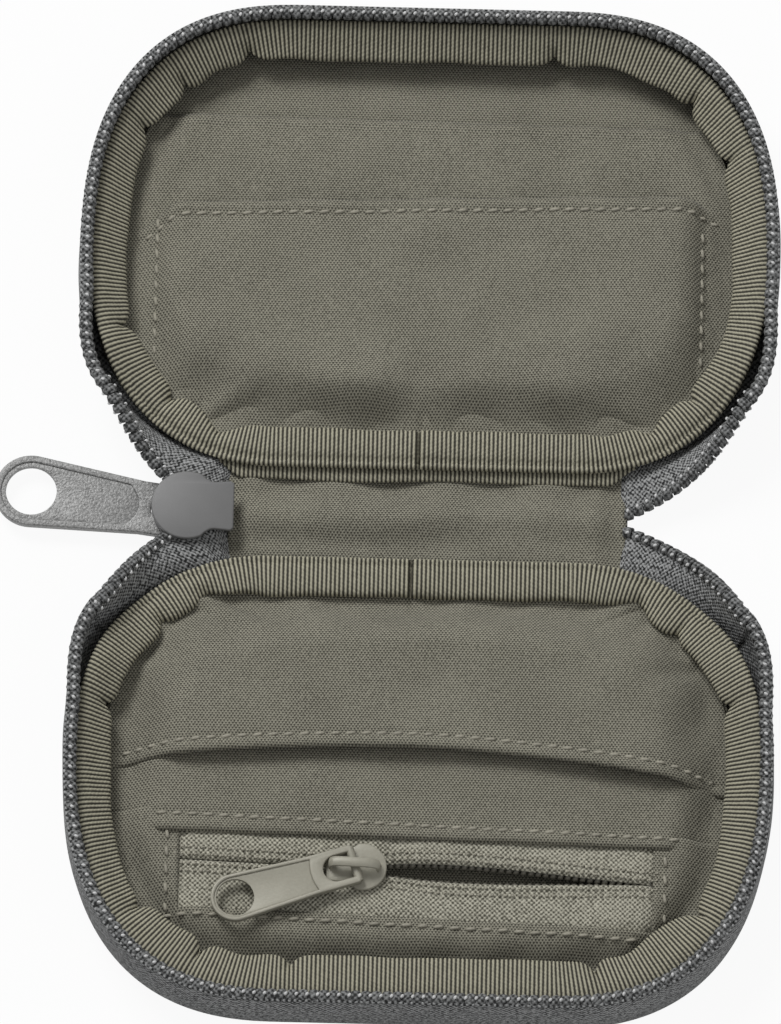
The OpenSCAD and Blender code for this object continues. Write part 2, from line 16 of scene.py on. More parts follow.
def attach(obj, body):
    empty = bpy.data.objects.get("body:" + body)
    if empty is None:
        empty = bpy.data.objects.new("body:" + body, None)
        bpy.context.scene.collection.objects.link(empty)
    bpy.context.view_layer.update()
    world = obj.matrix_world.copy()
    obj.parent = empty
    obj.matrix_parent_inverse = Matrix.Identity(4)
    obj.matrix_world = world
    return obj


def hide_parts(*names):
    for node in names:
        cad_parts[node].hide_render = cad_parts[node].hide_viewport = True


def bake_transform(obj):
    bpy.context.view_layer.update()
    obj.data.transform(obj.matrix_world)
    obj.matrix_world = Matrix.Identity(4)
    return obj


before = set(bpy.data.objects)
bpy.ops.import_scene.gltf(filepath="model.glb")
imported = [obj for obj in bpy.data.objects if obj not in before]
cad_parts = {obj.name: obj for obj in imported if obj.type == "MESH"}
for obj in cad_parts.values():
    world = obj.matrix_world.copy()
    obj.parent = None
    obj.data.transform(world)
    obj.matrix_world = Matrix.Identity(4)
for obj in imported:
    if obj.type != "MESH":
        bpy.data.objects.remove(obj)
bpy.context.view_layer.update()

# %% [markdown]
# ## The outline that everything follows
# Both halves share one rounded outline, with wide corners beside the spine and tighter ones at the far rim.
# A corner is part of a superellipse, so one short function gives the panel's edge, the zip and the binding.
# In a half's own plan, x runs along the spine and v from the fold line to the far rim.

# %% Sizes of the halves and their outline
Outline = namedtuple("Outline", "half_w near_v far_v near_reach far_reach")
PANEL = Outline(57.6, 0.2, 75.6, 25.0, 36.0)
BINDING = Outline(52.7, 0.1, 70.7, 28.0, 31.1)
WIDEST_V, NEAR_POWER, FAR_POWER = 31.7, 2.2, 2.5
FOLD_Y, FOLD_Z = 11.15, 1.6
FAN_START = 42.0
BODY = {"lower": "lower_half", "upper": "upper_half"}
PLAN = {"lower": "coin_half", "upper": "card_half"}


def ease(f):
    g = np.clip(f, 0, 1)
    return g * g * (3 - 2 * g)


def unit(p):
    return p / np.linalg.norm(p, axis=-1, keepdims=True)


def corner(g, inset, side, end, turn):
    """One corner of an outline: side is -1 or 1 along x, end is -1 beside the spine and 1 at the far rim."""
    near = end < 0
    reach_x = g.near_reach if near else g.far_reach
    reach_v = WIDEST_V - g.near_v if near else g.far_v - WIDEST_V
    power = 2 / (NEAR_POWER if near else FAR_POWER)
    t = np.radians(turn)
    x = side * (g.half_w - reach_x + (reach_x - inset) * np.abs(np.cos(t)) ** power)
    v = WIDEST_V + end * (reach_v - inset) * np.abs(np.sin(t)) ** power
    return np.stack([x, v], -1)


def ring(g, inset, start=90.0, steps=72):
    """The whole outline from the spine and back, or without the stretch beside the spine."""
    near, far = np.linspace(start, 0, steps), np.linspace(0, 90, steps)
    return np.concatenate([
        corner(g, inset, 1, -1, near), corner(g, inset, 1, 1, far[1:]),
        corner(g, inset, -1, 1, far[::-1]), corner(g, inset, -1, -1, near[::-1][1:]),
    ])


def half_width(g, inset, v):
    """Half the width of the outline at a distance v from the fold line."""
    near = v < WIDEST_V
    reach_v = np.where(near, WIDEST_V - g.near_v, g.far_v - WIDEST_V) - inset
    reach_x = np.where(near, g.near_reach, g.far_reach)
    power = np.where(near, NEAR_POWER, FAR_POWER)
    sine = np.clip(np.abs(v - WIDEST_V) / reach_v, 0, 1) ** (power / 2)
    return g.half_w - reach_x + (reach_x - inset) * np.sqrt(1 - sine**2) ** (2 / power)


def track(g, inset, spacing, start=90.0):
    """Points along an outline, their outward directions and the distance run."""
    edge = ring(g, inset, start)
    both = np.concatenate([edge, unit(ring(g, inset - 1, start) - edge)], 1)
    closed = start == 90
    p = np.concatenate([both, both[:1]]) if closed else both
    run = np.concatenate([[0], np.cumsum(np.linalg.norm(np.diff(p[:, :2], axis=0), axis=1))])
    count = round(run[-1] / spacing) + (0 if closed else 1)
    s = np.linspace(0, run[-1], count, endpoint=not closed)
    q = np.stack([np.interp(s, run, p[:, k]) for k in range(4)], -1)
    return q[:, :2], unit(q[:, 2:]), s, run[-1]


def place(half, points):
    """From a half's own plan to the frame."""
    p = np.array(points, float)
    p[..., 1] = (p[..., 1] + FOLD_Y) * (1 if half == "upper" else -1)
    return p


FULL_TURN = 6.283


def ripple(a, b, seed, size, waves=6):
    """Soft uneven waves over a surface, about one high, with the given wavelength."""
    rng = np.random.default_rng(seed)
    total = 0
    for _ in range(waves):
        angle, phase, k = rng.uniform(0, FULL_TURN), rng.uniform(0, FULL_TURN), rng.uniform(0.6, 1.6)
        total = total + np.sin((a * math.cos(angle) + b * math.sin(angle)) * FULL_TURN * k / size + phase)
    return total / math.sqrt(waves)


print("rim length of one half: %.1f mm" % track(PANEL, 0, 1, FAN_START)[3])

# %% [markdown]
# ## Writing materials as expressions
# A woven cloth is a sum of waves, so its material is easier to read as a formula than as a list of nodes.
# The class below wraps one output of a node: adding or multiplying two of them adds a Math node.


# %% Shader helper
class Tone:
    """One value in a material's nodes."""

    def __init__(self, finish, socket):
        self.finish, self.socket = finish, socket

    def maths(self, operation, *others):
        return self.finish.node("ShaderNodeMath", {"operation": operation}, dict(enumerate((self, *others))))

    def __add__(self, other):
        return self.maths("ADD", other)

    def __mul__(self, other):
        return self.maths("MULTIPLY", other)

    def __sub__(self, other):
        return self.maths("SUBTRACT", other)

    def __rsub__(self, other):
        return (self * -1.0) + other

    __radd__, __rmul__ = __add__, __mul__

    def sin(self):
        return self.maths("SINE")

    def abs(self):
        return self.maths("ABSOLUTE")

    def clamp(self):
        return self.maths("MAXIMUM", 0.0).maths("MINIMUM", 1.0)


class Finish:
    """A material, built node by node."""

    def __init__(self, name, roughness=0.8, **sockets):
        self.material = bpy.data.materials.new(name)
        self.material.use_nodes = True
        self.tree = self.material.node_tree
        self.shader = self.tree.nodes["Principled BSDF"]
        self.put({"Roughness": roughness, **{k.replace("_", " "): v for k, v in sockets.items()}})

    def link(self, target, value):
        if isinstance(value, Tone):
            self.tree.links.new(value.socket, target)
        elif isinstance(value, tuple) and len(value) == 3 and target.type == "RGBA":
            target.default_value = (*value, 1.0)
        else:
            target.default_value = value

    def node(self, kind, settings=None, sockets=None, out=0):
        made = self.tree.nodes.new(kind)
        for key, value in (settings or {}).items():
            setattr(made, key, value)
        for key, value in (sockets or {}).items():
            self.link(made.inputs[key], value)
        return Tone(self, made.outputs[out])

    def put(self, sockets):
        for key, value in sockets.items():
            self.link(self.shader.inputs[key], value)

    def axes(self, attribute=None):
        """The three coordinates in millimetres: of the object, or of an attribute along the piece."""
        if attribute:
            source = self.node("ShaderNodeAttribute", {"attribute_name": attribute}, out="Vector")
        else:
            source = self.node("ShaderNodeTexCoord", out="Object")
        scaled = self.node("ShaderNodeVectorMath", {"operation": "SCALE"}, {0: source, "Scale": 1000.0})
        made = self.tree.nodes.new("ShaderNodeSeparateXYZ")
        self.link(made.inputs[0], scaled)
        return scaled, *(Tone(self, made.outputs[k]) for k in range(3))

    def noise(self, vector, scale, detail=2.0, stretch=(1.0, 1.0, 1.0)):
        turned = self.node("ShaderNodeMapping", None, {"Vector": vector, "Scale": stretch})
        return self.node("ShaderNodeTexNoise", None, {"Vector": turned, "Scale": scale, "Detail": detail})

    def mix(self, low, high, factor):
        return self.node("ShaderNodeMix", {"data_type": "RGBA"}, {0: factor, 6: low, 7: high}, out=2)

    def bump(self, height, distance, strength=1.0):
        normal = self.node("ShaderNodeBump", None, {"Height": height, "Distance": distance, "Strength": strength})
        self.put({"Normal": normal})


print("a finish can:", [name for name in vars(Finish) if not name.startswith("_")])


# %% Screen colours
def rgb(code):
    """A screen colour such as 77725f as the linear values that a shader takes."""
    c = [int(code[i:i + 2], 16) / 255 for i in (0, 2, 4)]
    return tuple(x / 12.92 if x <= 0.04045 else ((x + 0.055) / 1.055) ** 2.4 for x in c)


print("a middle grey as a linear value: %.3f" % rgb("808080")[0])

# %% [markdown]
# ## The finishes
# The lining is a fine plain weave: two sets of threads that pass over and under each other, which is the product
# of two sine waves. Slubs are long thin noise along the threads. Grosgrain has a rib for every thick weft thread.
# A picture of cloth could be used instead, but a formula stays sharp from near by and needs no file.

# %% Cloth finishes
WEAVE_TONE, CLOUD_TONE = 0.62, 0.3
RIB_PITCH = 0.71


def weave_cloth(name, dark, light, pitch, attribute=None, depth=0.06, slub=0.4, fleck=0.0, grit=1.6, weft=0.0,
                close=1.0):
    """Plain weave with threads a pitch apart, closer one way, in which one set of threads may show more."""
    f = Finish(name, 0.86)
    where, x, y, _ = f.axes(attribute)
    over = (x * (math.pi / (pitch * close))).sin() * (y * (math.pi / pitch)).sin()
    slubs = f.noise(where, 1.0, 3.0, (0.25, 2.6, 1.0)) + f.noise(where, 1.0, 3.0, (2.6, 0.25, 1.0)) - 1.0
    clouds = f.noise(where, 0.09, 2.0)
    grain = f.noise(where, 3.1, 1.0) - 0.5
    tone = over * WEAVE_TONE + slubs * slub + grain * grit + (clouds - 0.5) * CLOUD_TONE + 0.5
    if weft:
        tone = tone + (y * (2 * math.pi / pitch)).sin() * weft
    if fleck:
        tone = tone + (f.noise(where, 1.5, 1.0) - 0.5) * fleck
    f.put({"Base Color": f.mix(dark, light, tone.clamp()), "Roughness": 0.94 - tone.clamp() * 0.12})
    f.bump(over + slubs * 0.7, depth * 0.001, 0.8)
    f.put({"Sheen Weight": 0.06})
    return f.material


lining_finish = weave_cloth("olive_lining", rgb("37352c"), rgb("9a9788"), 0.4, slub=0.12, grit=1.0, weft=0.3,
                           close=0.7)
outer_finish = weave_cloth("grey_outer_cloth", rgb("323333"), rgb("868787"), 0.5, depth=0.09, fleck=1.2)
tape_finish = weave_cloth("grey_zip_tape", rgb("232424"), rgb("a2a3a3"), 0.45, "cloth", 0.09, 0.8, 2.6)
coin_tape_finish = weave_cloth("olive_zip_tape", rgb("4f4d41"), rgb("bdbaaa"), 0.4, depth=0.08, fleck=0.5)


def rib_cloth():
    f = Finish("ribbed_binding", 0.8)
    where, run, across, _ = f.axes("cloth")
    rib = (run * (math.pi / RIB_PITCH)).sin().abs()
    twist = (across * 9.0 + run * 4.0).sin() * 0.5 + 0.5
    fuzz = f.noise(where, 1.6, 3.0)
    # The colour follows the ribs: lighter on each rib's crest and darker in the grooves between ribs. This is painted
    # highlight and painted shade on top of the raised ribs.
    tone = rib * rib * 1.3 - 0.3 + twist * 0.16 + (fuzz - 0.5) * 0.6
    f.put({"Base Color": f.mix(rgb("2d2b22"), rgb("aca894"), tone.clamp())})
    f.bump(twist * rib, 0.00004)
    return f.material


binding_finish = rib_cloth()
cloths = (lining_finish, outer_finish, tape_finish, coin_tape_finish, binding_finish)
print("cloth finishes:", [finish.name for finish in cloths])


# %% Painted, moulded and thread finishes
def plain_finish(name, dark, light, roughness, scale, depth, metallic=0.0, detail=3.0, speckle=0.6):
    """Moulded or painted: an even colour that drifts a little, with a fine uneven skin."""
    f = Finish(name, roughness, Metallic=metallic)
    where, *_ = f.axes()
    drift = f.noise(where, 0.35, 3.0)
    grain = f.noise(where, scale, detail)
    f.put({"Base Color": f.mix(dark, light, (drift * 0.6 + grain * speckle + (0.2 - speckle / 2)).clamp())})
    f.put({"Roughness": grain * 0.18 + (roughness - 0.09)})
    f.bump(grain, depth * 0.001)
    return f.material


coil_finish = weave_cloth("grey_zip_chain", rgb("292a2a"), rgb("868787"), 0.5, depth=0.1, slub=0.8, fleck=1.6)
thread_finish = plain_finish("grey_zip_thread", rgb("b2b3b3"), rgb("e2e2e2"), 0.6, 6.0, 0.05)
stitch_finish = plain_finish("olive_thread", rgb("77746a"), rgb("b0ac9c"), 0.75, 6.0, 0.05)
coin_coil_finish = plain_finish("olive_nylon_coil", rgb("4a483d"), rgb("76736a"), 0.45, 2.5, 0.03)
slider_finish = plain_finish("grey_painted_slider", rgb("686868"), rgb("727272"), 0.5, 3.0, 0.01, 0.1)
pull_finish = plain_finish("grey_hammered_pull", rgb("6b6b6a"), rgb("a5a5a4"), 0.45, 2.8, 0.12, 0.15, 1.0, 1.8)
coin_metal_finish = plain_finish("pale_painted_pull", rgb("8f8c7f"), rgb("a6a395"), 0.46, 2.2, 0.03, 0.1)
metals = (slider_finish, pull_finish, coin_metal_finish)
print("metal finishes:", [finish.name for finish in metals])

# %% [markdown]
# ## Making meshes
# A ribbon or a sheet is a grid of points. A closed skin is made from it by setting the grid off to both sides and
# joining the edges, so that cloth has a real thickness. Solidify could do the same, but here the thickness may change
# along the sheet, as it does at a hem. Normals are then turned outwards.

# %% Mesh helpers
scene = bpy.context.scene


def in_scene(name, data):
    made = bpy.data.objects.new(name, data)
    scene.collection.objects.link(made)
    return made


def smooth(mesh):
    mesh.polygons.foreach_set("use_smooth", [True] * len(mesh.polygons))


def mesh_object(name, points, faces, material, cloth=None, edges=()):
    mesh = bpy.data.meshes.new(name)
    mesh.from_pydata((np.asarray(points, float) * 0.001).tolist(), list(edges), faces)
    if cloth is not None:
        lane = mesh.attributes.new("cloth", "FLOAT_VECTOR", "POINT")
        lane.data.foreach_set("vector", (np.asarray(cloth, np.float32) * 0.001).ravel())
    if material:
        mesh.materials.append(material)
    work = bmesh.new()
    work.from_mesh(mesh)
    bmesh.ops.recalc_face_normals(work, faces=work.faces)
    work.to_mesh(mesh)
    work.free()
    smooth(mesh)
    return in_scene(name, mesh)


def grid_faces(rows, cols, wrap_rows=False, wrap_cols=False):
    i, k = np.meshgrid(np.arange(rows - (not wrap_rows)), np.arange(cols - (not wrap_cols)), indexing="ij")
    i2, k2 = (i + 1) % rows, (k + 1) % cols
    return np.stack([i * cols + k, i * cols + k2, i2 * cols + k2, i2 * cols + k], -1).reshape(-1, 4).tolist()


def end_caps(rows, cols):
    """The two flat ends of a tube of rows of points."""
    return [list(range(cols)), list(range((rows - 1) * cols, rows * cols))]


print("faces of a sheet of 3 by 3 points:", len(grid_faces(3, 3)))


# %% Sheets with a thickness
def normals_of(grid):
    along, across = np.gradient(grid, axis=0), np.gradient(grid, axis=1)
    return unit(np.cross(along, across) + 1e-12)


def skin(name, grid, thick, material, cloth=None):
    """A closed sheet of the given thickness round a grid of points."""
    rows, cols = grid.shape[:2]
    up = normals_of(grid) * (np.asarray(thick) / 2 * np.ones(grid.shape[:2]))[..., None]
    loops = np.concatenate([grid + up, (grid - up)[:, ::-1]], 1)
    faces = grid_faces(rows, 2 * cols, wrap_cols=True)
    for row, order in ((0, 1), (rows - 1, -1)):
        base = row * 2 * cols
        for k in range(cols - 1):
            faces.append([base + k, base + k + 1, base + 2 * cols - 2 - k, base + 2 * cols - 1 - k][::order])
    lanes = None
    if cloth is not None:
        lanes = np.concatenate([cloth, cloth[:, ::-1]], 1).reshape(-1, 3)
    return mesh_object(name, loops.reshape(-1, 3), faces, material, lanes)


def plain_mesh(obj, name):
    """The evaluated object as a plain mesh piece, in place of the object it came from."""
    graph = bpy.context.evaluated_depsgraph_get()
    mesh = bpy.data.meshes.new_from_object(obj.evaluated_get(graph))
    bpy.data.objects.remove(obj)
    smooth(mesh)
    return in_scene(name, mesh)


# %% What carries a piece
def dress(piece, body=None, nodes=()):
    """Says which body carries a piece and hides the solids that it stands for."""
    if body:
        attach(piece, body)
    if nodes:
        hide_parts(*nodes)
    return piece


def fold_blend(obj, half):
    """Cloth at a fold line: bakes its place in the frame into its mesh, the same way for either half."""
    sign = 1 if half == "upper" else -1
    if half == "upper":
        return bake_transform(obj)
    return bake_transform(obj)


print("fold lines at y = %.2f and %.2f mm" % (-FOLD_Y, FOLD_Y))

# %% [markdown]
# ## Loops and stitches along a path
# A coil zip is hundreds of equal loops, and a seam is hundreds of equal stitches. One node tree serves both: it
# walks along a curve in steps of the pitch and sets a small shape at every step, turned to the curve and to the
# direction that the path's points carry with them. A coil could also be one long spiral, but separate loops look the
# same from outside and follow the rim without a twist.


# %% The repeating tree
def new_tree(name, inputs, output):
    """A node tree with named inputs, and a function that adds a node to it."""
    tree = bpy.data.node_groups.new(name, "GeometryNodeTree")
    for label, kind in inputs:
        tree.interface.new_socket(label, in_out="INPUT", socket_type="NodeSocket" + kind)
    tree.interface.new_socket(output, in_out="OUTPUT", socket_type="NodeSocketGeometry")

    def node(kind, **settings):
        made = tree.nodes.new(kind)
        for key, value in settings.items():
            setattr(made, key, value)
        return made

    return tree, node


def join(tree, links):
    for source, target in links:
        tree.links.new(source, target)
    return tree


def repeat_tree():
    tree, node = new_tree("repeat_along_path", (
        ("Path", "Geometry"), ("Pitch", "Float"), ("Shape", "Object"), ("Size", "Vector"), ("Finish", "Material"),
    ), "Pieces")
    given, result = node("NodeGroupInput"), node("NodeGroupOutput")
    curve = node("GeometryNodeMeshToCurve")
    points = node("GeometryNodeCurveToPoints", mode="LENGTH")
    head = node("GeometryNodeInputNamedAttribute", data_type="FLOAT_VECTOR")
    head.inputs["Name"].default_value = "head"
    turn = node("FunctionNodeAxesToRotation", primary_axis="Z", secondary_axis="X")
    shape = node("GeometryNodeObjectInfo")
    copies = node("GeometryNodeInstanceOnPoints")
    real, paint = node("GeometryNodeRealizeInstances"), node("GeometryNodeSetMaterial")
    return join(tree, (
        (given.outputs["Path"], curve.inputs["Mesh"]), (curve.outputs[0], points.inputs["Curve"]),
        (given.outputs["Pitch"], points.inputs["Length"]), (points.outputs["Points"], copies.inputs["Points"]),
        (head.outputs[0], turn.inputs[0]), (points.outputs["Tangent"], turn.inputs[1]),
        (turn.outputs[0], copies.inputs["Rotation"]), (given.outputs["Shape"], shape.inputs["Object"]),
        (shape.outputs["Geometry"], copies.inputs["Instance"]), (given.outputs["Size"], copies.inputs["Scale"]),
        (copies.outputs[0], real.inputs[0]), (real.outputs[0], paint.inputs["Geometry"]),
        (given.outputs["Finish"], paint.inputs["Material"]), (paint.outputs[0], result.inputs[0]),
    ))


REPEAT = repeat_tree()


def modifier_inputs(modifier, values):
    for item in modifier.node_group.interface.items_tree:
        if item.in_out == "INPUT" and item.name in values:
            modifier[item.identifier] = values[item.name]


def repeated(name, paths, pitch, shape, size, material):
    """A shape repeated along paths, each a pair of points and head directions, as one plain mesh."""
    points, heads, edges = [], [], []
    for line, head in paths:
        base = len(points)
        points += list(line)
        heads += list(head)
        edges += [(base + i, base + i + 1) for i in range(len(line) - 1)]
    host = mesh_object(name + "_path", points, [], None, edges=edges)
    lane = host.data.attributes.new("head", "FLOAT_VECTOR", "POINT")
    lane.data.foreach_set("vector", np.asarray(heads, np.float32).ravel())
    modifier = host.modifiers.new("repeat", "NODES")
    modifier.node_group = REPEAT
    modifier_inputs(modifier, {"Pitch": pitch * 0.001, "Shape": shape, "Size": size, "Finish": material})
    return plain_mesh(host, name)


def upright(count):
    return np.tile([0.0, 0.0, 1.0], (count, 1))


print("repeating tree:", len(REPEAT.nodes), "nodes")


# %% One loop and one stitch
def bead(name, line, radii, sides=6):
    """A short rod along a line of points, with its own half width and half height at each."""
    line = np.asarray(line, float)
    along = unit(np.gradient(line, axis=0))
    side = unit(np.cross(along, [[0.0, 0.0, 1.0]]) + np.array([[1e-9, 0, 0]]))
    up = unit(np.cross(side, along))
    a = np.linspace(0, 2 * math.pi, sides, endpoint=False)
    rows = [line[i] + np.outer(np.cos(a), side[i]) * r[0] + np.outer(np.sin(a), up[i]) * r[1]
            for i, r in enumerate(radii)]
    faces = grid_faces(len(rows), sides, wrap_cols=True)
    faces += end_caps(len(rows), sides)
    obj = mesh_object(name, np.concatenate(rows), faces, None)
    scene.collection.objects.unlink(obj)
    return obj


def coil_loop():
    """One loop of a coil in a plane across the path, with a broad head at the top."""
    turns, sides = 14, 6
    skew, half_w, half_h, wire = 0.12, 0.62, 0.72, 0.3
    points = []
    for i in range(turns):
        a = 2 * math.pi * i / turns
        middle = np.array([skew * math.cos(a), half_w * math.cos(a), half_h * math.sin(a)])
        out = unit(np.array([0.0, math.cos(a) / half_w, math.sin(a) / half_h]))
        broad = 0.52 + 0.14 * max(0.0, math.sin(a)) ** 2
        for k in range(sides):
            b = 2 * math.pi * k / sides
            points.append(middle + out * wire * math.cos(b) + np.array([broad * math.sin(b), 0, 0]))
    obj = mesh_object("loop_shape", points, grid_faces(turns, sides, True, True), None)
    scene.collection.objects.unlink(obj)
    return obj


LOOP = coil_loop()
STITCH_LINE = [(-0.5, -0.35), (-0.42, 0.2), (-0.2, 0.42), (0, 0.46), (0.2, 0.42), (0.42, 0.2), (0.5, -0.35)]
STITCH = bead("stitch_shape", [(x, 0.35 * x, z) for x, z in STITCH_LINE],
              [(0.3, 0.12)] + [(0.5, 0.5)] * 5 + [(0.3, 0.12)])
print("loop faces:", len(LOOP.data.polygons), "stitch faces:", len(STITCH.data.polygons))

# %% [markdown]
# ## Camera, floor and light
# The wallet was seen from almost straight above, from its coin half, through a long lens. The floor shows as white
# to the camera but lights the cloth like plain paper. A large soft lamp at the upper left gives the cloth its relief.

# %% Camera
PIXELS_PER_MM, FRAME_H, SENSOR = 6.06, 1024, 36.0
TILT, ROLL, DISTANCE = 20.0, 1.39, 2.0
AIM = Vector((-0.0055, 0.0019, 0.0))


def add_camera():
    data = bpy.data.cameras.new("camera")
    data.sensor_width = SENSOR
    data.lens = SENSOR * DISTANCE * 1000 / (FRAME_H / PIXELS_PER_MM)
    data.clip_start, data.clip_end = 0.1, 20.0
    cam = in_scene("camera", data)
    t = math.radians(TILT)
    turn = Matrix.Rotation(t, 4, "X") @ Matrix.Rotation(math.radians(ROLL), 4, "Z")
    cam.matrix_world = Matrix.Translation(AIM + Vector((0, -math.sin(t), math.cos(t))) * DISTANCE) @ turn
    scene.camera = cam
    return cam


camera = add_camera()
print("lens %.0f mm at %.1f m" % (camera.data.lens, DISTANCE))


# %% Floor and lamps
def add_floor():
    size, far = 3.0, -0.0004
    mesh = bpy.data.meshes.new("floor")
    corners = [(x * size, y * size, far) for x, y in ((-1, -1), (1, -1), (1, 1), (-1, 1))]
    mesh.from_pydata(corners, [], [(0, 1, 2, 3)])
    f = Finish("white_paper", 0.9)
    f.put({"Base Color": (0.8, 0.8, 0.8)})
    mesh.materials.append(f.material)
    path = f.tree.nodes.new("ShaderNodeLightPath")
    rays = [Tone(f, path.outputs[f"Is {kind} Ray"]) for kind in ("Camera", "Glossy", "Transmission")]
    seen = (rays[0] + rays[1] + rays[2]).clamp()
    glow = f.node("ShaderNodeEmission", None, {"Color": (1.0, 1.0, 1.0), "Strength": 1.0}, "Emission")
    mixed = f.node("ShaderNodeMixShader", None, {0: seen * 0.93})
    f.tree.links.new(f.shader.outputs[0], mixed.socket.node.inputs[1])
    f.tree.links.new(glow.socket, mixed.socket.node.inputs[2])
    f.tree.links.new(mixed.socket, f.tree.nodes["Material Output"].inputs["Surface"])
    in_scene("floor", mesh)


def add_lamp(name, place_at, size, power):
    data = bpy.data.lights.new(name, "AREA")
    data.size, data.energy = size, power
    lamp = in_scene(name, data)
    lamp.location = place_at
    lamp.rotation_mode = "QUATERNION"
    lamp.rotation_quaternion = (-Vector(place_at)).to_track_quat("-Z", "Y")


add_floor()
add_lamp("key", (-0.55, 0.75, 1.05), 0.6, 14.5)
add_lamp("fill", (0.9, -0.5, 1.2), 1.2, 3.4)
world = bpy.data.worlds.new("soft_room")
world.use_nodes = True
sky = world.node_tree.nodes["Background"].inputs
sky["Color"].default_value, sky["Strength"].default_value = (1, 1, 1, 1), 0.3
scene.world = world
scene.view_settings.view_transform = "Standard"
print("lamps:", len(bpy.data.lights))

# %% [markdown]
# ## Padded panels
# Each half has an outer cloth and a lining with thin foam between them. On the table it is a flat pad whose edge is
# drawn in by the seam. A bevelled plate would be as round above as below. A stack of outlines, each a little further
# in or out, gives each side its own edge as one closed skin.

# %% Panels and linings
PAD_WAVE, PAD_WAVE_L, PAD_SEED = 0.12, 34, 3


def stacked(name, half, levels, material):
    """A closed pad from outlines given as (inset, share of the plan, height)."""
    middle = np.array([0.0, PANEL.far_v / 2])
    rows = []
    for inset, share, z in levels:
        flat = (ring(PANEL, inset, steps=24) - middle) * share + middle
        wave = PAD_WAVE * ripple(flat[:, 0], flat[:, 1], PAD_SEED, PAD_WAVE_L) * (1 - share) * (z > 1)
        rows.append(np.column_stack([flat, z + wave]))
    points = place(half, np.concatenate(rows))
    size = len(rows), len(rows[0])
    return mesh_object(name, points, grid_faces(*size, wrap_cols=True) + end_caps(*size), material)


PAD_LEVELS = [(4, 0.05, 0.0), (4, 0.4, 0.0), (4, 0.75, 0.0), (4, 1, 0.0), (2, 1, 0.05), (1, 1, 0.22), (0.4, 1, 0.5),
              (0.1, 1, 0.85), (0, 1, 1.2), (0.3, 1, 1.55), (1.0, 1, 1.75), (2.4, 1, 1.8), (4, 0.75, 1.8),
              (4, 0.4, 1.8), (4, 0.05, 1.8)]
LINING_LEVELS = [(3, 0.05, 1.85), (3, 0.4, 1.85), (3, 0.75, 1.85), (2.0, 1, 1.85), (1.6, 1, 2.0), (2.0, 1, 2.15),
                 (3, 0.75, 2.25), (3, 0.4, 2.25), (3, 0.05, 2.25)]
for half in BODY:
    pad = stacked(PLAN[half] + "_shell", half, PAD_LEVELS, outer_finish)
    dress(pad, BODY[half], (half + "_outer_panel", half + "_foam"))
    inner = stacked(PLAN[half] + "_lining", half, LINING_LEVELS, lining_finish)
    dress(inner, BODY[half], (half + "_lining",))
print("pads and linings: 4")

# %% [markdown]
# ## The long zip
# The zip's tape stands up as the wall of each half, and its coil is the rim. The loops' heads point up, towards the
# other half's loops, and a row of pale stitches runs over them. The wall could be a plain outline drawn upwards, but
# as a grid it can bulge a little, pucker along the seam and lean out on its way to the spine.

# %% Wall tape, coil and coil stitches
TAPE_T, TAPE_FOOT, TAPE_TOP, COIL_Z = 0.62, 0.75, 12.0, 11.4
LOOP_PITCH, LOOP_SIZE, FLECK = 1.7, (1.5, 1.32, 1.0), (0.36, 0.58, 0.42)
LEAN, LEAN_FROM, WALL_INSET, COIL_INSET = 3.2, 27.0, 0.1, 0.85
BELLY, PUCKER, PUCKER_RUN = 0.28, 0.35, 3.9
FLECK_IN, FLECK_UP = 0.1, 0.88


def rim_track(inset, spacing):
    """The zip's line over the outline, and how far it leans out where it is about to fan out beside the spine."""
    p, n, s, _ = track(PANEL, inset, spacing, FAN_START)
    return p, n, s, LEAN * ease((LEAN_FROM - p[:, 1]) / (LEAN_FROM - p[0, 1]))


def wall_tape(half):
    p, n, s, lean = rim_track(WALL_INSET, 0.9)
    rise = np.linspace(0, 1, 9)
    belly = BELLY * np.sin(math.pi * rise)[None, :] * (1 + PUCKER * np.sin(s / PUCKER_RUN)[:, None])
    belly = belly + lean[:, None] * rise[None, :]
    xy = p[:, None, :] + n[:, None, :] * belly[..., None]
    z = (TAPE_FOOT + (TAPE_TOP - TAPE_FOOT) * rise)[None, :] * np.ones((len(s), 1))
    grid = place(half, np.concatenate([xy, z[..., None]], -1))
    cloth = np.stack([s[:, None] + 0 * z, z, 0 * z], -1)
    tape = skin(PLAN[half] + "_wall_tape", grid, TAPE_T, tape_finish, cloth)
    dress(tape, BODY[half], (half + "_zip_tape",))


def rim_line(half, inset, z):
    p, n, _, lean = rim_track(inset, 0.8)
    line = place(half, np.column_stack([p + n * lean[:, None], np.full(len(p), z)]))
    return line, upright(len(p))


def rim_coil(half):
    path = [rim_line(half, COIL_INSET, COIL_Z)]
    coil = repeated(PLAN[half] + "_coil", path, LOOP_PITCH, LOOP, LOOP_SIZE, coil_finish)
    dress(coil, BODY[half], (half + "_zip_coil",))
    rows = [rim_line(half, COIL_INSET + FLECK_IN, COIL_Z + FLECK_UP)]
    seam = repeated(PLAN[half] + "_coil_stitches", rows, LOOP_PITCH, STITCH, FLECK, thread_finish)
    dress(seam, BODY[half])
    return len(coil.data.polygons)


for half in BODY:
    wall_tape(half)
    print(half, "coil faces:", rim_coil(half))
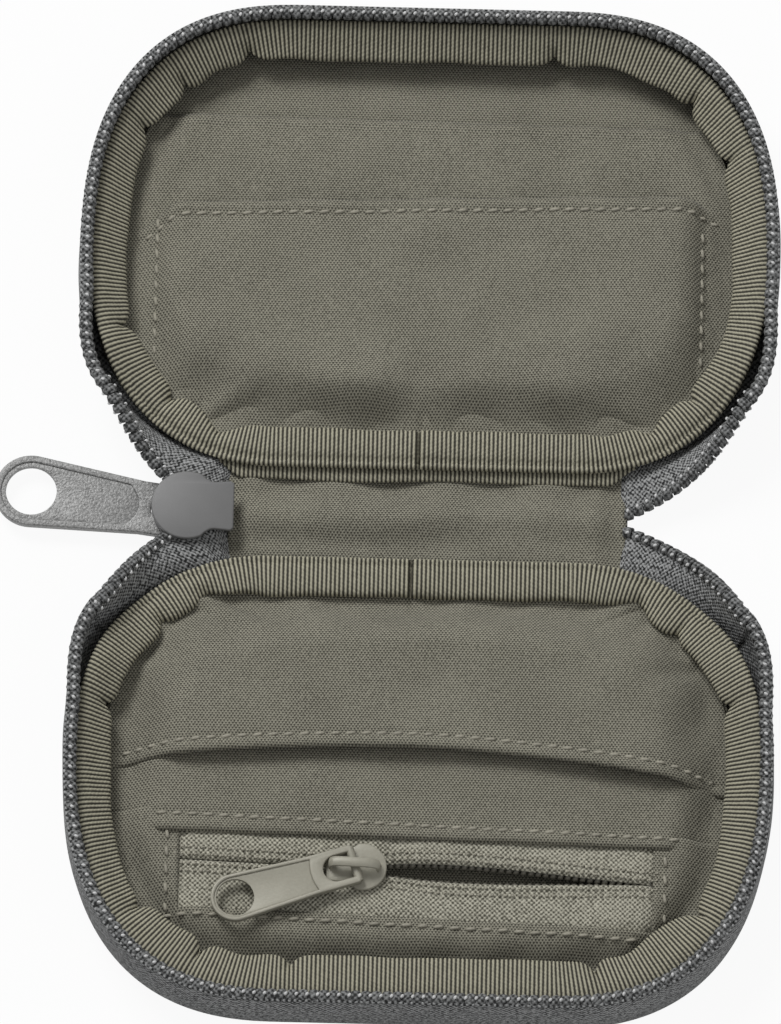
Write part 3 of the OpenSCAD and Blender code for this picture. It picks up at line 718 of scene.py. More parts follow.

# %% [markdown]
# ## Where the zip fans out
# Beside the spine the upright tape turns flat: its sewn edge follows the panel's corner, while its coil leaves the
# rim on a curve and runs into the slider on the left, or is sewn into the spine on the right. A cubic curve with two
# handles gives the coil's line, because it leaves and arrives in given directions. This cloth bends when the wallet
# shuts.

# %% Lines of a fanned end
SPINE_L, SLIDER_X, CHAIN_Z, TONGUE_Z = 66.0, -39.0, 4.7, 1.4
FAN_SEAM_INSET, FAN_SEAM_RISE, FAN_BACK = 0.45, 0.4, 1.2
FAN_DEPART, FAN_SLOPE, FAN_UP = 9.0, -0.1, 0.9
FAN_ENDS = {
    "left": (-1, (SLIDER_X - 0.6, 2.3 - FOLD_Y, CHAIN_Z), (-7.3, 4.4, 0.1)),
    "right": (1, (SPINE_L / 2 + 0.8, 0.75 - FOLD_Y, FOLD_Z + 0.8), (13.0, 5.6, 1.6)),
}


def fan_rows(side, end, approach, steps=40):
    """The sewn edge and the coil of one end, row by row, and the top of the wall where the end begins."""
    end, approach = np.array(end), np.array(approach)
    base = max(0.0, SPINE_L / 2 + 0.3 - PANEL.half_w + PANEL.near_reach) / PANEL.near_reach
    last = math.degrees(math.acos(base ** (NEAR_POWER / 2)))
    f = np.linspace(0, 1, steps)
    settle = ease(4 * f)
    turn = FAN_START + (last - FAN_START) * f - FAN_BACK * (1 - settle)
    seam = corner(PANEL, WALL_INSET + (FAN_SEAM_INSET - WALL_INSET) * settle, side, -1, turn)
    seam = np.column_stack([seam, TAPE_FOOT + FAN_SEAM_RISE * settle])
    p, n, _, lean = rim_track(WALL_INSET, 0.8)
    top = np.array([*(p + n * lean[:, None])[::side][1], TAPE_TOP])
    p, n, _, lean = rim_track(COIL_INSET, 0.8)
    line = (p + n * lean[:, None])[::side]
    start = np.array([*line[0], COIL_Z + FAN_UP])
    depart = start + FAN_DEPART * np.array([*unit(line[0] - line[1]), FAN_SLOPE])
    f, g = f[:, None], 1 - f[:, None]
    coil = g**3 * start + 3 * g * g * f * depart + 3 * g * f * f * (end + approach) + f**3 * end
    return seam, coil, top


print("rows of a fanned end:", len(fan_rows(*FAN_ENDS["left"])[1]))

# %% Fanned zip ends
TONGUE_L, TONGUE_RAMP = 4, 3.2
FAN_SWELL, EDGE_BACK, LOOP_BACK, FLECK_OUT, FLECK_BACK = 0.42, 0.55, 0.9, 1.05, 0.15


def zip_end(half, hand):
    """One end: its tape with a tongue under the spine's lining, its loops and the stitches on both their sides."""
    side, end, approach = FAN_ENDS[hand]
    seam, coil, top = fan_rows(side, end, approach)
    teeth = len(coil)
    tongue = np.linspace(0, 1, 13)[1:, None]
    under = side * (SPINE_L / 2 - TONGUE_L)
    x = end[0] + (under - end[0]) * tongue
    z = TONGUE_Z + (end[2] - TONGUE_Z) * ease((np.abs(x) - SPINE_L / 2 + 0.5) / TONGUE_RAMP)
    coil = np.concatenate([coil, np.concatenate([x, end[1] + 0 * x, z], 1)])
    seam = np.concatenate([seam, seam[-1] + tongue * ([under, seam[-1, 1], TONGUE_Z] - seam[-1])])
    chord = coil - seam
    reach = np.linalg.norm(chord, axis=1, keepdims=True)
    head = chord / reach
    across = np.linspace(0, 1, 9)
    swell = np.concatenate([ease(np.linspace(0, 1, teeth)), 1 - ease(3 * tongue[:, 0])])
    lift = swell[:, None] * (end[2] - 0.8) * FAN_SWELL * np.sin(math.pi * across)[None, :] ** 2
    edge = coil - head * EDGE_BACK
    edge = edge + (top - edge[0]) * (1 - ease(np.arange(len(edge)) / 10))[:, None]
    body = seam[:, None, :] + across[None, :, None] * (edge - seam)[:, None, :]
    body[..., 2] += lift
    run = np.concatenate([[0], np.cumsum(np.linalg.norm(np.diff(coil, axis=0), axis=1))])
    cloth = np.stack([run[:, None] + 0 * lift, across[None, :] * reach, 0 * lift], -1)
    name = f"{PLAN[half]}_{hand}_zip_end"
    tape = skin(name, place(half, body), TAPE_T, tape_finish, cloth)
    dress(tape, nodes=(f"{half}_{hand}_zip_end",))
    facing = head[:teeth] * [[1, 1 if half == "upper" else -1, 1]]
    line = place(half, coil - head * LOOP_BACK)[:teeth]
    loops = repeated(name + "_coil", [(line, facing)], LOOP_PITCH, LOOP, LOOP_SIZE, coil_finish)
    dress(loops)
    along = unit(np.gradient(line, axis=0))
    flank = unit(np.cross(along, facing))
    rows = [(line + flank * k * FLECK_OUT - facing * FLECK_BACK, flank * k) for k in (-1, 1)]
    seams = repeated(name + "_stitches", rows, LOOP_PITCH, STITCH, FLECK, thread_finish)
    dress(seams)
    for piece in (tape, loops, seams):
        fold_blend(piece, half)


for half in BODY:
    for hand in FAN_ENDS:
        zip_end(half, hand)
        print("zip end:", PLAN[half], hand)

# %% [markdown]
# ## The bound seam
# All layers of a half meet in one seam, and a ribbed grosgrain tape is folded round it. It stands inside the wall as
# a soft flattened roll: its free inner edge is wavy, it buckles into small pits in the corners where the tape is too
# long for the curve, and its two ends overlap in the middle of the spine. The roll is a swept oval, and a small node
# tree raises a rib for every thread along it.


# %% Ribs on a roll
def rib_tree():
    tree, node = new_tree("raise_ribs", (
        ("Roll", "Geometry"), ("Rib pitch", "Float"), ("Rib height", "Float"), ("Finish", "Material"),
    ), "Roll")
    given, result = node("NodeGroupInput"), node("NodeGroupOutput")
    run = node("GeometryNodeInputNamedAttribute", data_type="FLOAT_VECTOR")
    run.inputs["Name"].default_value = "cloth"
    parts = node("ShaderNodeSeparateXYZ")
    phase, turn, wave, rise, high = (
        node("ShaderNodeMath", operation=k) for k in ("DIVIDE", "MULTIPLY", "SINE", "ABSOLUTE", "MULTIPLY"))
    turn.inputs[1].default_value = math.pi
    normal, offset = node("GeometryNodeInputNormal"), node("ShaderNodeVectorMath", operation="SCALE")
    move, paint = node("GeometryNodeSetPosition"), node("GeometryNodeSetMaterial")
    return join(tree, (
        (run.outputs[0], parts.inputs[0]), (parts.outputs[0], phase.inputs[0]),
        (given.outputs["Rib pitch"], phase.inputs[1]), (phase.outputs[0], turn.inputs[0]),
        (turn.outputs[0], wave.inputs[0]), (wave.outputs[0], rise.inputs[0]), (rise.outputs[0], high.inputs[0]),
        (given.outputs["Rib height"], high.inputs[1]), (normal.outputs[0], offset.inputs[0]),
        (high.outputs[0], offset.inputs["Scale"]), (given.outputs["Roll"], move.inputs["Geometry"]),
        (offset.outputs[0], move.inputs["Offset"]), (move.outputs[0], paint.inputs["Geometry"]),
        (given.outputs["Finish"], paint.inputs["Material"]), (paint.outputs[0], result.inputs[0]),
    ))


RIBS = rib_tree()


def ribbed(name, grid, cloth, rib_height, ring_shut=True):
    """A ribbed tube from rows of points round it, either shut into a ring or with two flat ends."""
    rows, cols = grid.shape[:2]
    faces = grid_faces(rows, cols, ring_shut, True)
    if not ring_shut:
        faces += end_caps(rows, cols)
    host = mesh_object(name + "_roll", grid.reshape(-1, 3), faces, None, cloth.reshape(-1, 3))
    modifier = host.modifiers.new("ribs", "NODES")
    modifier.node_group = RIBS
    modifier_inputs(modifier, {"Rib pitch": RIB_PITCH * 0.001, "Rib height": rib_height, "Finish": binding_finish})
    return plain_mesh(host, name)


print("rib tree:", len(RIBS.nodes), "nodes")

# %% Sizes and pits of the binding
BIND_W, BIND_T, BIND_TILT, BIND_Z, SPINE_BIND_Z = 6.5, 2.0, 36.0, 7.5, 4.35
RIB_HEIGHT, LIP_RIB_HEIGHT = 0.00018, 0.00014
PITS = {
    "upper": [(-31.3, 71), (-44, 66), (-49.5, 56), (-34.5, 1.5), (38, 3), (20, 71), (45, 64), (50, 52),
              (-50, 20), (-43, 7), (46, 8)],
    "lower": [(-36.5, 0.8), (36.5, 1.2), (-46.4, 60), (-35, 67), (-20, 70.5), (46, 58), (30, 69.5), (50, 22),
              (-50.5, 24), (-44.5, 6.5), (44, 6.5)],
}
SPINE_PIT, BUTT_END_V = (1.2, 2.0), 5
BUTT_X, BUTT_LAP, BUTT_CUT = {"upper": -1.0, "lower": -1.8}, 9.0, 0.38


def pits_along(half, x, v, s):
    """How deep the roll is drawn in at each place: deepest at a pit, and wider at the corners beside the spine."""
    pit = np.zeros(len(s))
    for k, (px, pv) in enumerate(PITS[half]):
        near = np.hypot(x - px, v - pv)
        away = np.abs(s - s[near.argmin()])
        away = np.minimum(away, s[-1] - away)
        deep, wide = SPINE_PIT if pv < 4 else (0.75 + 0.25 * (k % 3 == 0), 1.1)
        pit = np.maximum(pit, deep * np.exp(-(away / wide) ** 1.2))
    return pit


print("pits:", {PLAN[half]: len(PITS[half]) for half in PITS})

# %% Ribbed binding
FLAT_V, FLAT_RUN = 20, 15
LOW_V, LOW_RUN, LOW_TILT, LOW_BROAD, LOW_BACK = 56, 10, 22, 0.14, 1.1
GROOVE_U, GROOVE_W, GROOVE_DEEP = 2.1, 0.34, 0.75
EDGE_WAVES = ((0.3, 2.1, 1), (0.1, 1.27, 2), (0.35, 4.7, 0))
ROLL_BACK = 0.75


def bound_seam(half):
    """The roll: it lies flat along the spine, tilts up elsewhere, and is lower at the coin half's far rim."""
    seed = 5 if half == "upper" else 9
    p, n, s, total = track(BINDING, 0, RIB_PITCH / 4)
    s = s * (round(total / RIB_PITCH) * RIB_PITCH / total)
    x, v = p[:, 0], p[:, 1]
    flat = ease((FLAT_V - v) / FLAT_RUN)
    low = ease((v - LOW_V) / LOW_RUN) * (half == "lower")
    tilt = np.radians(BIND_TILT - LOW_TILT * low) * (1 - flat)
    z = BIND_Z + (SPINE_BIND_Z - BIND_Z) * flat
    bend = ease((np.abs(x) - 18) / 16) * ease(np.maximum((12 - v) / 10, (v - 48) / 10)) * 0.75 + 0.25
    wave = bend * sum(high * np.sin(s / run + k * seed) for high, run, k in EDGE_WAVES)
    pit = pits_along(half, x, v, s)
    lap = BUTT_X[half] + BUTT_LAP - x
    butt = ease((x - BUTT_X[half]) / 0.4) * ease(lap / BUTT_LAP) * (v < BUTT_END_V)
    a = np.linspace(0, 2 * math.pi, 28, endpoint=False)
    across, depth = np.cos(a)[None, :], np.sin(a)[None, :]
    squared = np.sign(across) * np.abs(across) ** 0.8
    thick = np.sign(depth) * np.abs(depth) ** 0.75 * BIND_T / 2
    inner = np.clip(-across, 0, 1)
    u = squared * BIND_W / 2 * (1 + LOW_BROAD * low[:, None]) + inner**2 * (wave[:, None] + 2.0 * pit[:, None])
    swell = 1 + 0.28 * inner * (1 - 0.5 * flat[:, None]) - 0.25 * np.clip(across, 0, 1) ** 2
    groove = flat[:, None] * np.exp(-((u - GROOVE_U) / GROOVE_W) ** 2) * (depth > 0)
    w = thick * swell * (1 + 0.5 * butt[:, None]) - GROOVE_DEEP * groove
    w = w - pit[:, None] * (depth > 0) * (1.5 * inner**0.5 + 0.4)
    cut = np.exp(-((x - BUTT_X[half]) / BUTT_CUT) ** 2)
    w = w - 0.9 * cut[:, None] * (v < BUTT_END_V)[:, None] * (depth > 0)
    w = w + 0.3 * inner**2 * np.sin(s / 3.3 + seed)[:, None] * bend[:, None] + 0.5 * inner**2 * (1 - flat[:, None])
    out = u * np.cos(tilt)[:, None] - w * np.sin(tilt)[:, None]
    out = out + (ROLL_BACK - LOW_BACK * low[:, None]) * (1 - flat[:, None])
    high = z[:, None] + u * np.sin(tilt)[:, None] + w * np.cos(tilt)[:, None]
    grid = np.concatenate([p[:, None, :] + n[:, None, :] * out[..., None], high[..., None]], -1)
    cloth = np.stack([s[:, None] + 0 * u, u, depth + 0 * u], -1)
    roll = ribbed(PLAN[half] + "_binding", place(half, grid), cloth, RIB_HEIGHT)
    dress(roll, nodes=(half + "_binding",))
    fold_blend(roll, half)
    return len(roll.data.polygons)


for half in BODY:
    print(half, "binding faces:", bound_seam(half))

# %% The binding's lip
LIP_L, LIP_V, LIP_Z = 70.0, -2.9, 2.85


def bound_lip():
    """The tape's under side, which looks out below the card half's roll along the spine."""
    s = np.arange(-LIP_L / 2, LIP_L / 2, RIB_PITCH / 4)
    a = np.linspace(0, 2 * math.pi, 16, endpoint=False)[None, :]
    wide = 1.5 * ease((LIP_L / 2 - np.abs(s)) / 5)[:, None] + 0.05
    v = LIP_V - wide * np.cos(a) * 1.3 + 0.25 * ripple(s, 0 * s, 31, 40)[:, None] + 1.2 * (1 - wide / 1.55)
    z = LIP_Z + 0.5 * np.sin(a) * np.minimum(wide, 1) + 0 * s[:, None]
    grid = np.stack([s[:, None] + 0 * a, v, z], -1)
    cloth = np.stack([s[:, None] + 0 * a, v, 0 * v], -1)
    lip = ribbed("card_half_binding_lip", place("upper", grid), cloth, LIP_RIB_HEIGHT, False)
    dress(lip)
    fold_blend(lip, "upper")
    return len(lip.data.polygons)


print("lip faces:", bound_lip())

# %% [markdown]
# ## Pockets
# A pocket is a sheet of lining cloth that is caught in the bound seam on three sides and hemmed along its mouth.
# It rises from the seam to its full height, sinks a little along each row of stitches, and its mouth sags. A cloth
# simulation could find such folds, but a formula puts each of them where it belongs. The height of the cloth is one
# function of its place, so the stitches can later be laid exactly on it.

# %% Mouths and sizes of the pockets
SEAM_INSET, TUCK, CLOTH_T, HEM, SIDE_ROW_X = 1.0, 2.6, 0.5, 2.1, 45.2
NEAR_V, FAR_V = BINDING.near_v + SEAM_INSET, BINDING.far_v - SEAM_INSET


def card_mouth(x):
    return 43.2 + 0.035 * x - 3.2 * ease((-x - 41) / 7) - 1.6 * ease((x - 42) / 7)


def rear_mouth(x):
    return 58.5 - 0.01 * x


def note_mouth(x):
    return 31.0 + 2.6 * np.abs(np.minimum(x + 8, 0) / 40) ** 1.6 + 5.2 * (np.maximum(x + 2, 0) / 50) ** 1.7


def header_mouth(x):
    return 46.0 + 0.016 * x


POCKETS = {
    "rear_card_pocket": dict(half="upper", mouth=rear_mouth, top=4.2, low=3.3, drop=4.0, seed=2, wave=0.10),
    "front_card_pocket": dict(half="upper", mouth=card_mouth, top=8.0, low=3.2, drop=7.5, seed=4, wave=0.2,
                              rows=SIDE_ROW_X, slack=1.0),
    "coin_pocket_header": dict(half="lower", mouth=header_mouth, top=6.9, low=2.9, drop=7.0, seed=6, wave=0.12),
    "note_pocket": dict(half="lower", mouth=note_mouth, top=9.5, low=3.3, drop=9.0, seed=8, wave=0.3, slack=0.8),
    "coin_pocket_front": dict(half="lower", mouth=None, top=6.4, low=3.2, drop=5.0, seed=7, wave=0.06),
}
CREASES = {
    "note_pocket": [(-37, 1.5, -22, 9, 1.7), (40, 2.5, 27, 11, 1.4), (47, 14, 36, 18, 0.9), (-48, 13, -38, 15, 0.7)],
    "front_card_pocket": [(39, 2.5, 24, 8, 1.3), (-38, 2, -26, 9, 1.2), (50, 22, 41, 28, 0.8), (20, 1, 4, 5, 0.7)],
}
print("pockets:", len(POCKETS), "creases:", sum(len(lines) for lines in CREASES.values()))

# %% Height of the cloth
SWELL_L, SLACK_L, SLACK_AT, SLACK_W, CREASE_W = 30, 24, 8.5, 4.5, 1.5
PULL_HIGH, PULL_REACH, GATHER_HIGH, GATHER_TURN = 0.34, 10, 0.09, 2.464
ROW_DEEP, LIP_HIGH, MOUTH_DROP, SIDE_ROW_DEEP = 0.3, 0.12, 0.35, 0.5


def hem_row(pocket, x):
    """The line of stitches below a pocket's mouth."""
    return 43.7 + 0.031 * x if pocket == "coin_pocket_header" else POCKETS[pocket]["mouth"](x) - HEM


def seam_distances(x, v):
    """How far a place lies from the seam at the sides, from the seam beside the spine, and from all of it."""
    side = np.maximum(half_width(BINDING, SEAM_INSET, np.clip(v, NEAR_V, FAR_V)) - np.abs(x), 0) + 0.02
    near, far = np.maximum(v - NEAR_V, 0) + 0.02, np.maximum(FAR_V - v, 0) + 0.02
    return side, near, (side**-2.0 + near**-2.0 + far**-2.0) ** -0.5


def crease(x, v, x0, v0, x1, v1, deep):
    """A crease from a deep end to a shallow one: how far it sinks, and the fold that stands up beside it."""
    along, size = np.array([x1 - x0, v1 - v0]), math.hypot(x1 - x0, v1 - v0)
    share = np.clip(((x - x0) * along[0] + (v - v0) * along[1]) / size**2, 0, 1)
    off = ((x - x0) * -along[1] + (v - v0) * along[0]) / size
    gone = np.hypot(x - x0 - share * along[0], v - v0 - share * along[1])
    sunk = deep * (1 - share) ** 0.7 * np.exp(-(gone / CREASE_W) ** 2)
    beside = ((off - 2.6) / 1.9) ** 2 + (np.maximum(gone - 3, 0)) ** 2
    return sunk, 0.6 * deep * (1 - share) ** 0.7 * np.exp(-beside)


def cloth_height(pocket, x, v):
    """The height of a pocket's cloth: its rise from the seam, then waves, creases, slack, pull lines and hem."""
    p = POCKETS[pocket]
    side, near, d = seam_distances(x, v)
    z = p["low"] + (p["top"] - p["low"]) * ease((d - TUCK) / p["drop"])
    z = z + p["wave"] * ripple(x, 1.6 * v, p["seed"], SWELL_L) * ease(d / 7)
    for line in CREASES.get(pocket, ()):
        sunk, raised = crease(x, v, *line)
        z = z - sunk
        z = z + raised
    slack = np.exp(-(((near - SLACK_AT) / SLACK_W) ** 2)) * ease((side - 4) / 8)
    z = z + p.get("slack", 0) * slack * ripple(x, 0.6 * v, p["seed"] + 40, SLACK_L)
    pull = np.exp(-(d / PULL_REACH) ** 2) * ease((d - 1) / 4)
    z = z + PULL_HIGH * pull * np.sin(x * 0.55 + np.sign(x) * v * 0.4 + p["seed"])
    if p["mouth"] is not None:
        to_mouth, to_row = p["mouth"](x) - v, hem_row(pocket, x) - v
        z = z - ROW_DEEP * np.exp(-(to_row / 0.5) ** 2) + LIP_HIGH * np.exp(-((to_mouth - 0.9) / 0.7) ** 2)
        z = z - MOUTH_DROP * ease(1 - to_mouth / 0.5)
        z = z + GATHER_HIGH * np.sin(x * GATHER_TURN) * np.exp(-(to_row / 1.6) ** 2)
    if "rows" in p:
        z = z - SIDE_ROW_DEEP * np.exp(-((np.abs(x) - p["rows"]) / 0.9) ** 2) * ease((v - 16) / 6)
    return z


print("note pocket's height in its middle: %.2f mm" % cloth_height("note_pocket", 0.0, 20.0))


# %% Pocket sheets
def pocket_sheet(name):
    """The cloth of a pocket, thicker where its hem is turned in, and the grid of its middle face."""
    p = POCKETS[name]
    share = np.linspace(0, 1, 60)[:, None]
    side = np.sin(np.linspace(-math.pi / 2, math.pi / 2, 121))[None, :]
    middle = float(p["mouth"](0.0))
    line = NEAR_V + 0.15 + (middle - NEAR_V - 0.15) * share
    x = side * half_width(BINDING, SEAM_INSET, line)
    v = line + (p["mouth"](x) - middle) * share**2
    grid = np.stack([x, v, cloth_height(name, x, v)], -1)
    hem = ease((v - p["mouth"](x) + HEM + 1.2) / 2.0)
    return skin(name + "_cloth", place(p["half"], grid), CLOTH_T * (0.8 + 0.5 * hem), lining_finish), grid


for name in ("rear_card_pocket", "front_card_pocket", "coin_pocket_header", "note_pocket"):
    sheet, grid = pocket_sheet(name)
    half = POCKETS[name]["half"]
    long = float(POCKETS[name]["mouth"](0.0) - NEAR_V) * 0.001
    dress(sheet, BODY[half], (name,))

# %% [markdown]
# The cloth round the coin zip is a frame with a window. It is made as a grid whose lines run along the window's
# edges: the faces inside the window are left out, and Solidify gives the rest its thickness. A cut with another solid
# would leave ragged faces along the window.

# %% Coin pocket front
ZIP_TURN = math.radians(2.0)
ZIP_V, ZIP_RISE = 51.4, math.tan(ZIP_TURN)
HEADER_Q, WINDOW_Q, WINDOW_X = 7.2, 8.0, 38.65
WINDOW_ROWS, EDGE_COLS = 22, 15


def coin_front():
    q = np.concatenate([np.linspace(-HEADER_Q - 1.2, WINDOW_Q, WINDOW_ROWS), np.linspace(WINDOW_Q + 0.5, 17.5, 16)])
    q = q[:, None]
    wide = half_width(BINDING, SEAM_INSET, np.clip(ZIP_V + q, NEAR_V, FAR_V - 0.1))
    inner = np.minimum(WINDOW_X, 0.9 * wide)
    edge, across = np.linspace(0, 1, EDGE_COLS)[None, :], np.linspace(-1, 1, 61)[None, 1:-1]
    x = np.concatenate([-wide + (wide - inner) * edge, inner * across, inner + (wide - inner) * edge], 1)
    v = ZIP_V + q + ZIP_RISE * x * ease((14 - q) / 8)
    v = np.minimum(v, FAR_V - 0.05)
    grid = np.stack([x, v, cloth_height("coin_pocket_front", x, v)], -1)
    rows, cols = x.shape
    faces = [f for f in grid_faces(rows, cols)
             if not (f[0] // cols < WINDOW_ROWS - 1 and EDGE_COLS - 1 <= f[0] % cols < cols - EDGE_COLS)]
    host = mesh_object("front", place("lower", grid).reshape(-1, 3), faces, lining_finish)
    work = bmesh.new()
    work.from_mesh(host.data)
    bmesh.ops.delete(work, geom=[p for p in work.verts if not p.link_faces], context="VERTS")
    work.to_mesh(host.data)
    work.free()
    thick = host.modifiers.new("thickness", "SOLIDIFY")
    thick.thickness, thick.offset = CLOTH_T * 0.001, 0.0
    front = dress(plain_mesh(host, "coin_pocket_front_cloth"), "lower_half", ("coin_pocket_front",))
    return len(front.data.polygons)


print("coin pocket front faces:", coin_front())

# %% [markdown]
# ## The coin zip
# Two woven tapes lie under the window with their coils behind them, so only the tapes and two rows of stitches
# show. They are shut on the left of the slider and part on its right in a lens-shaped mouth. Each tape is a grid
# between the mouth's edge and the cloth that covers its far edge, so one function of the mouth shapes tape, stitches
# and coil alike.

# %% Coin tapes, coils and their stitches
COIN_TAPE_L, COIN_TAPE_T, COIN_TAPE_Z, COIN_SEAM_Z, COIN_COIL_Z = 82.5, 0.42, 6.2, 6.44, 5.35
MOUTH_FROM, MOUTH_TO, MOUTH_SHUT, MOUTH_OPEN = -9.0, 38.05, 0.12, 1.45
COIN_STITCH_PITCH, COIN_STITCH_SIZE = 1.1, (0.34, 0.4, 0.3)
COIN_LOOP_PITCH, COIN_LOOP_SIZE = 1.2, (0.8, 0.75, 0.9)
COIN_WAVE, COIN_WAVE_L, COIN_SEED, EDGE_DROP = 0.12, 16, 11, 0.25
COIN_SEAM_STEPS, COIN_COIL_STEP, UNDER_CLOTH = (0.7, 1.9), 0.35, 0.5


def coin_mouth(p):
    """Half the width of the gap between the tapes at a place along the zip."""
    share = np.clip((p - MOUTH_FROM) / (MOUTH_TO - MOUTH_FROM), 0, 1)
    return MOUTH_SHUT + MOUTH_OPEN * np.sin(math.pi * share**0.62) ** 1.2


def along_zip(p, q, z):
    """From the zip's own line to the frame."""
    x = p * math.cos(ZIP_TURN) - q * math.sin(ZIP_TURN)
    v = p * math.sin(ZIP_TURN) + q * math.cos(ZIP_TURN) + ZIP_V
    return place("lower", np.stack(np.broadcast_arrays(x, v, z), -1))


def coin_tape(side, label, far):
    """One tape with its stitches and its coil, on the side of the zip's line that is given as -1 or 1."""
    p = np.linspace(-COIN_TAPE_L / 2, COIN_TAPE_L / 2, 121)[:, None]
    f = np.linspace(0, 1, 12)[None, :]
    q = side * (coin_mouth(p) + (far - coin_mouth(p)) * f)
    z = COIN_TAPE_Z + COIN_WAVE * ripple(p, q, COIN_SEED, COIN_WAVE_L) * f * (1 - f) * 4 - EDGE_DROP * (1 - f) ** 6
    cover = cloth_height("coin_pocket_front", p - 0 * q, ZIP_V + q + ZIP_RISE * p) - UNDER_CLOTH
    under = np.maximum(ease((np.abs(p) - WINDOW_X + 1.6) / 1.4), ease((q - WINDOW_Q + 1.4) / 1.2))
    z = z + (np.minimum(z, cover) - z) * under
    tape = skin("coin_tape_" + label, along_zip(p, q, z), COIN_TAPE_T, coin_tape_finish)
    dress(tape, "lower_half", ("coin_zip_tape_" + label,))
    line = np.linspace(-COIN_TAPE_L / 2 + 2, COIN_TAPE_L / 2 - 2, 160)
    up = upright(len(line))
    rows = [(along_zip(line, side * (coin_mouth(line) + step), COIN_SEAM_Z), up) for step in COIN_SEAM_STEPS]
    seams = repeated("coin_tape_stitches_" + label, rows, COIN_STITCH_PITCH, STITCH, COIN_STITCH_SIZE, stitch_finish)
    dress(seams, "lower_half")
    towards = along_zip(line, 0 * line - side, 0.0) - along_zip(line, 0 * line, 0.0)
    path = (along_zip(line, side * (coin_mouth(line) + COIN_COIL_STEP), COIN_COIL_Z), towards)
    coil = repeated("coin_coil_" + label, [path], COIN_LOOP_PITCH, LOOP, COIN_LOOP_SIZE, coin_coil_finish)
    dress(coil, "lower_half", ("coin_zip_coil_" + label,))
    return len(coil.data.polygons)


print("coil faces:", coin_tape(-1, "upper", HEADER_Q + 2.4), coin_tape(1, "lower", WINDOW_Q + 2.0))

# %% [markdown]
# ## Topstitching
# Every hem is held by a row of stitches in thread of the cloth's own colour, sunk a little into the cloth. The rows
# go through the same tree as the coils, along lines that take their height from the cloth under them.

# %% Stitch rows
STITCH_PITCH, STITCH_SIZE, STITCH_LIFT = 2.55, (1.05, 0.6, 0.5), 0.27
WINDOW_ROW_X = 40.6


def cloth_row(pocket, x, v):
    z = cloth_height(pocket, x, v) + STITCH_LIFT
    return place(POCKETS[pocket]["half"], np.stack([x, v, z], -1)), upright(len(x))


def hem_stitches(pocket, low, high):
    x = np.linspace(low, high, 120)
    return cloth_row(pocket, x, hem_row(pocket, x))


def stitch_piece(name, node, rows, body):
    piece = repeated(name, rows, STITCH_PITCH, STITCH, STITCH_SIZE, stitch_finish)
    dress(piece, body, (node,))
    print("%s: %d rows" % (name, len(rows)))


v, q, x = np.linspace(17.0, 38.5, 40), np.linspace(-4.0, 8.0, 30), np.linspace(-40.0, 40.0, 120)
card_rows = [hem_stitches("front_card_pocket", -46.5, 47.0)]
window_rows = [cloth_row("coin_pocket_front", x, ZIP_V + ZIP_RISE * x + WINDOW_Q + 1.4)]
for side in (-1, 1):
    card_rows.append(cloth_row("front_card_pocket", side * SIDE_ROW_X + 0 * v, v))
    at = side * WINDOW_ROW_X
    window_rows.append(cloth_row("coin_pocket_front", at + 0 * q, ZIP_V + ZIP_RISE * side * WINDOW_ROW_X + q))
stitch_piece("card_hem_stitches", "card_pocket_stitching", card_rows, "upper_half")
stitch_piece("note_hem_stitches", "note_pocket_stitching", [hem_stitches("note_pocket", -47.5, 47.5)], "lower_half")
stitch_piece("header_hem_stitches", "header_stitching", [hem_stitches("coin_pocket_header", -46.0, 46.0)],
             "lower_half")
stitch_piece("window_stitches", "coin_window_stitching", window_rows, "lower_half")

# %% [markdown]
# ## The spine
# The spine is a strip between the two fold lines: outer cloth on a thin stiffener, a lining whose ends are turned in,
# and the ends of the zip sewn between them. The lining is a little too wide, so it lies in soft waves. All four are
# grids over the same plan, so one function makes them from their edges and a height.

# %% Spine strip and lining
SPINE_HALF_W, BACK_Z, BACK_T, SPINE_LINING_Z, SPINE_LINING_T = 10.9, 0.58, 1.1, 1.8, 0.45


def strip(name, x, y, height, thick, material, nodes):
    """A strip of the spine from a grid of places and a height function."""
    gx, gy = np.meshgrid(x, y, indexing="ij")
    grid = np.stack([gx, gy, height(gx, gy)], -1)
    made = skin(name, grid, thick, material, np.stack([gx, gy, 0 * gx], -1))
    return dress(made, "spine", nodes)


def spine_waves(x, y):
    """The lining's height: soft waves, a long ridge, a low fold on each side, and flatter ends."""
    ends = ease((np.abs(x) - 27) / 5)
    soft = 0.45 * ripple(x, 1.8 * y, 21, 24) + 0.55 * np.exp(-((np.abs(x) - 29) / 1.9) ** 2)
    crown = 2.0 * np.exp(-(((y + 0.3 - 0.03 * x - 0.5 * np.sin(x / 7)) / 3.2) ** 2))
    folds = 0.3 * np.exp(-(((y + 7.2 + 0.03 * x) / 1.5) ** 2)) + 0.3 * np.exp(-(((y - 6.6 - 0.02 * x) / 1.7) ** 2))
    rise = (soft + crown + folds) * (1 - 0.6 * ends) * ease((11 - np.abs(y)) / 5)
    return SPINE_LINING_Z + rise - 0.3 * ends


back = strip("spine_back", np.linspace(-SPINE_L / 2, SPINE_L / 2, 40), np.linspace(-SPINE_HALF_W, SPINE_HALF_W, 16),
             lambda x, y: BACK_Z + 0 * x, BACK_T, outer_finish, ("spine_outer", "spine_core"))
cover = strip("spine_lining_cloth", np.linspace(-32.2, 33.4, 90), np.linspace(-SPINE_HALF_W, SPINE_HALF_W, 40),
              spine_waves, SPINE_LINING_T, lining_finish, ("spine_lining",))
print("spine lining faces:", len(cover.data.polygons))

# %% [markdown]
# Over each fold line a narrow strip of outer cloth is sewn into the spine's back and into the pad. It closes the
# outside when a half folds up. It could hang on one body and slide over the other, but cloth bends; here it is one
# flat strip along the fold line.

# %% Cloth over the fold lines
FOLD_CLOTH_L, FOLD_CLOTH_W, FOLD_CLOTH_Z, FOLD_CLOTH_T = 64.8, 10.0, 0.27, 0.3


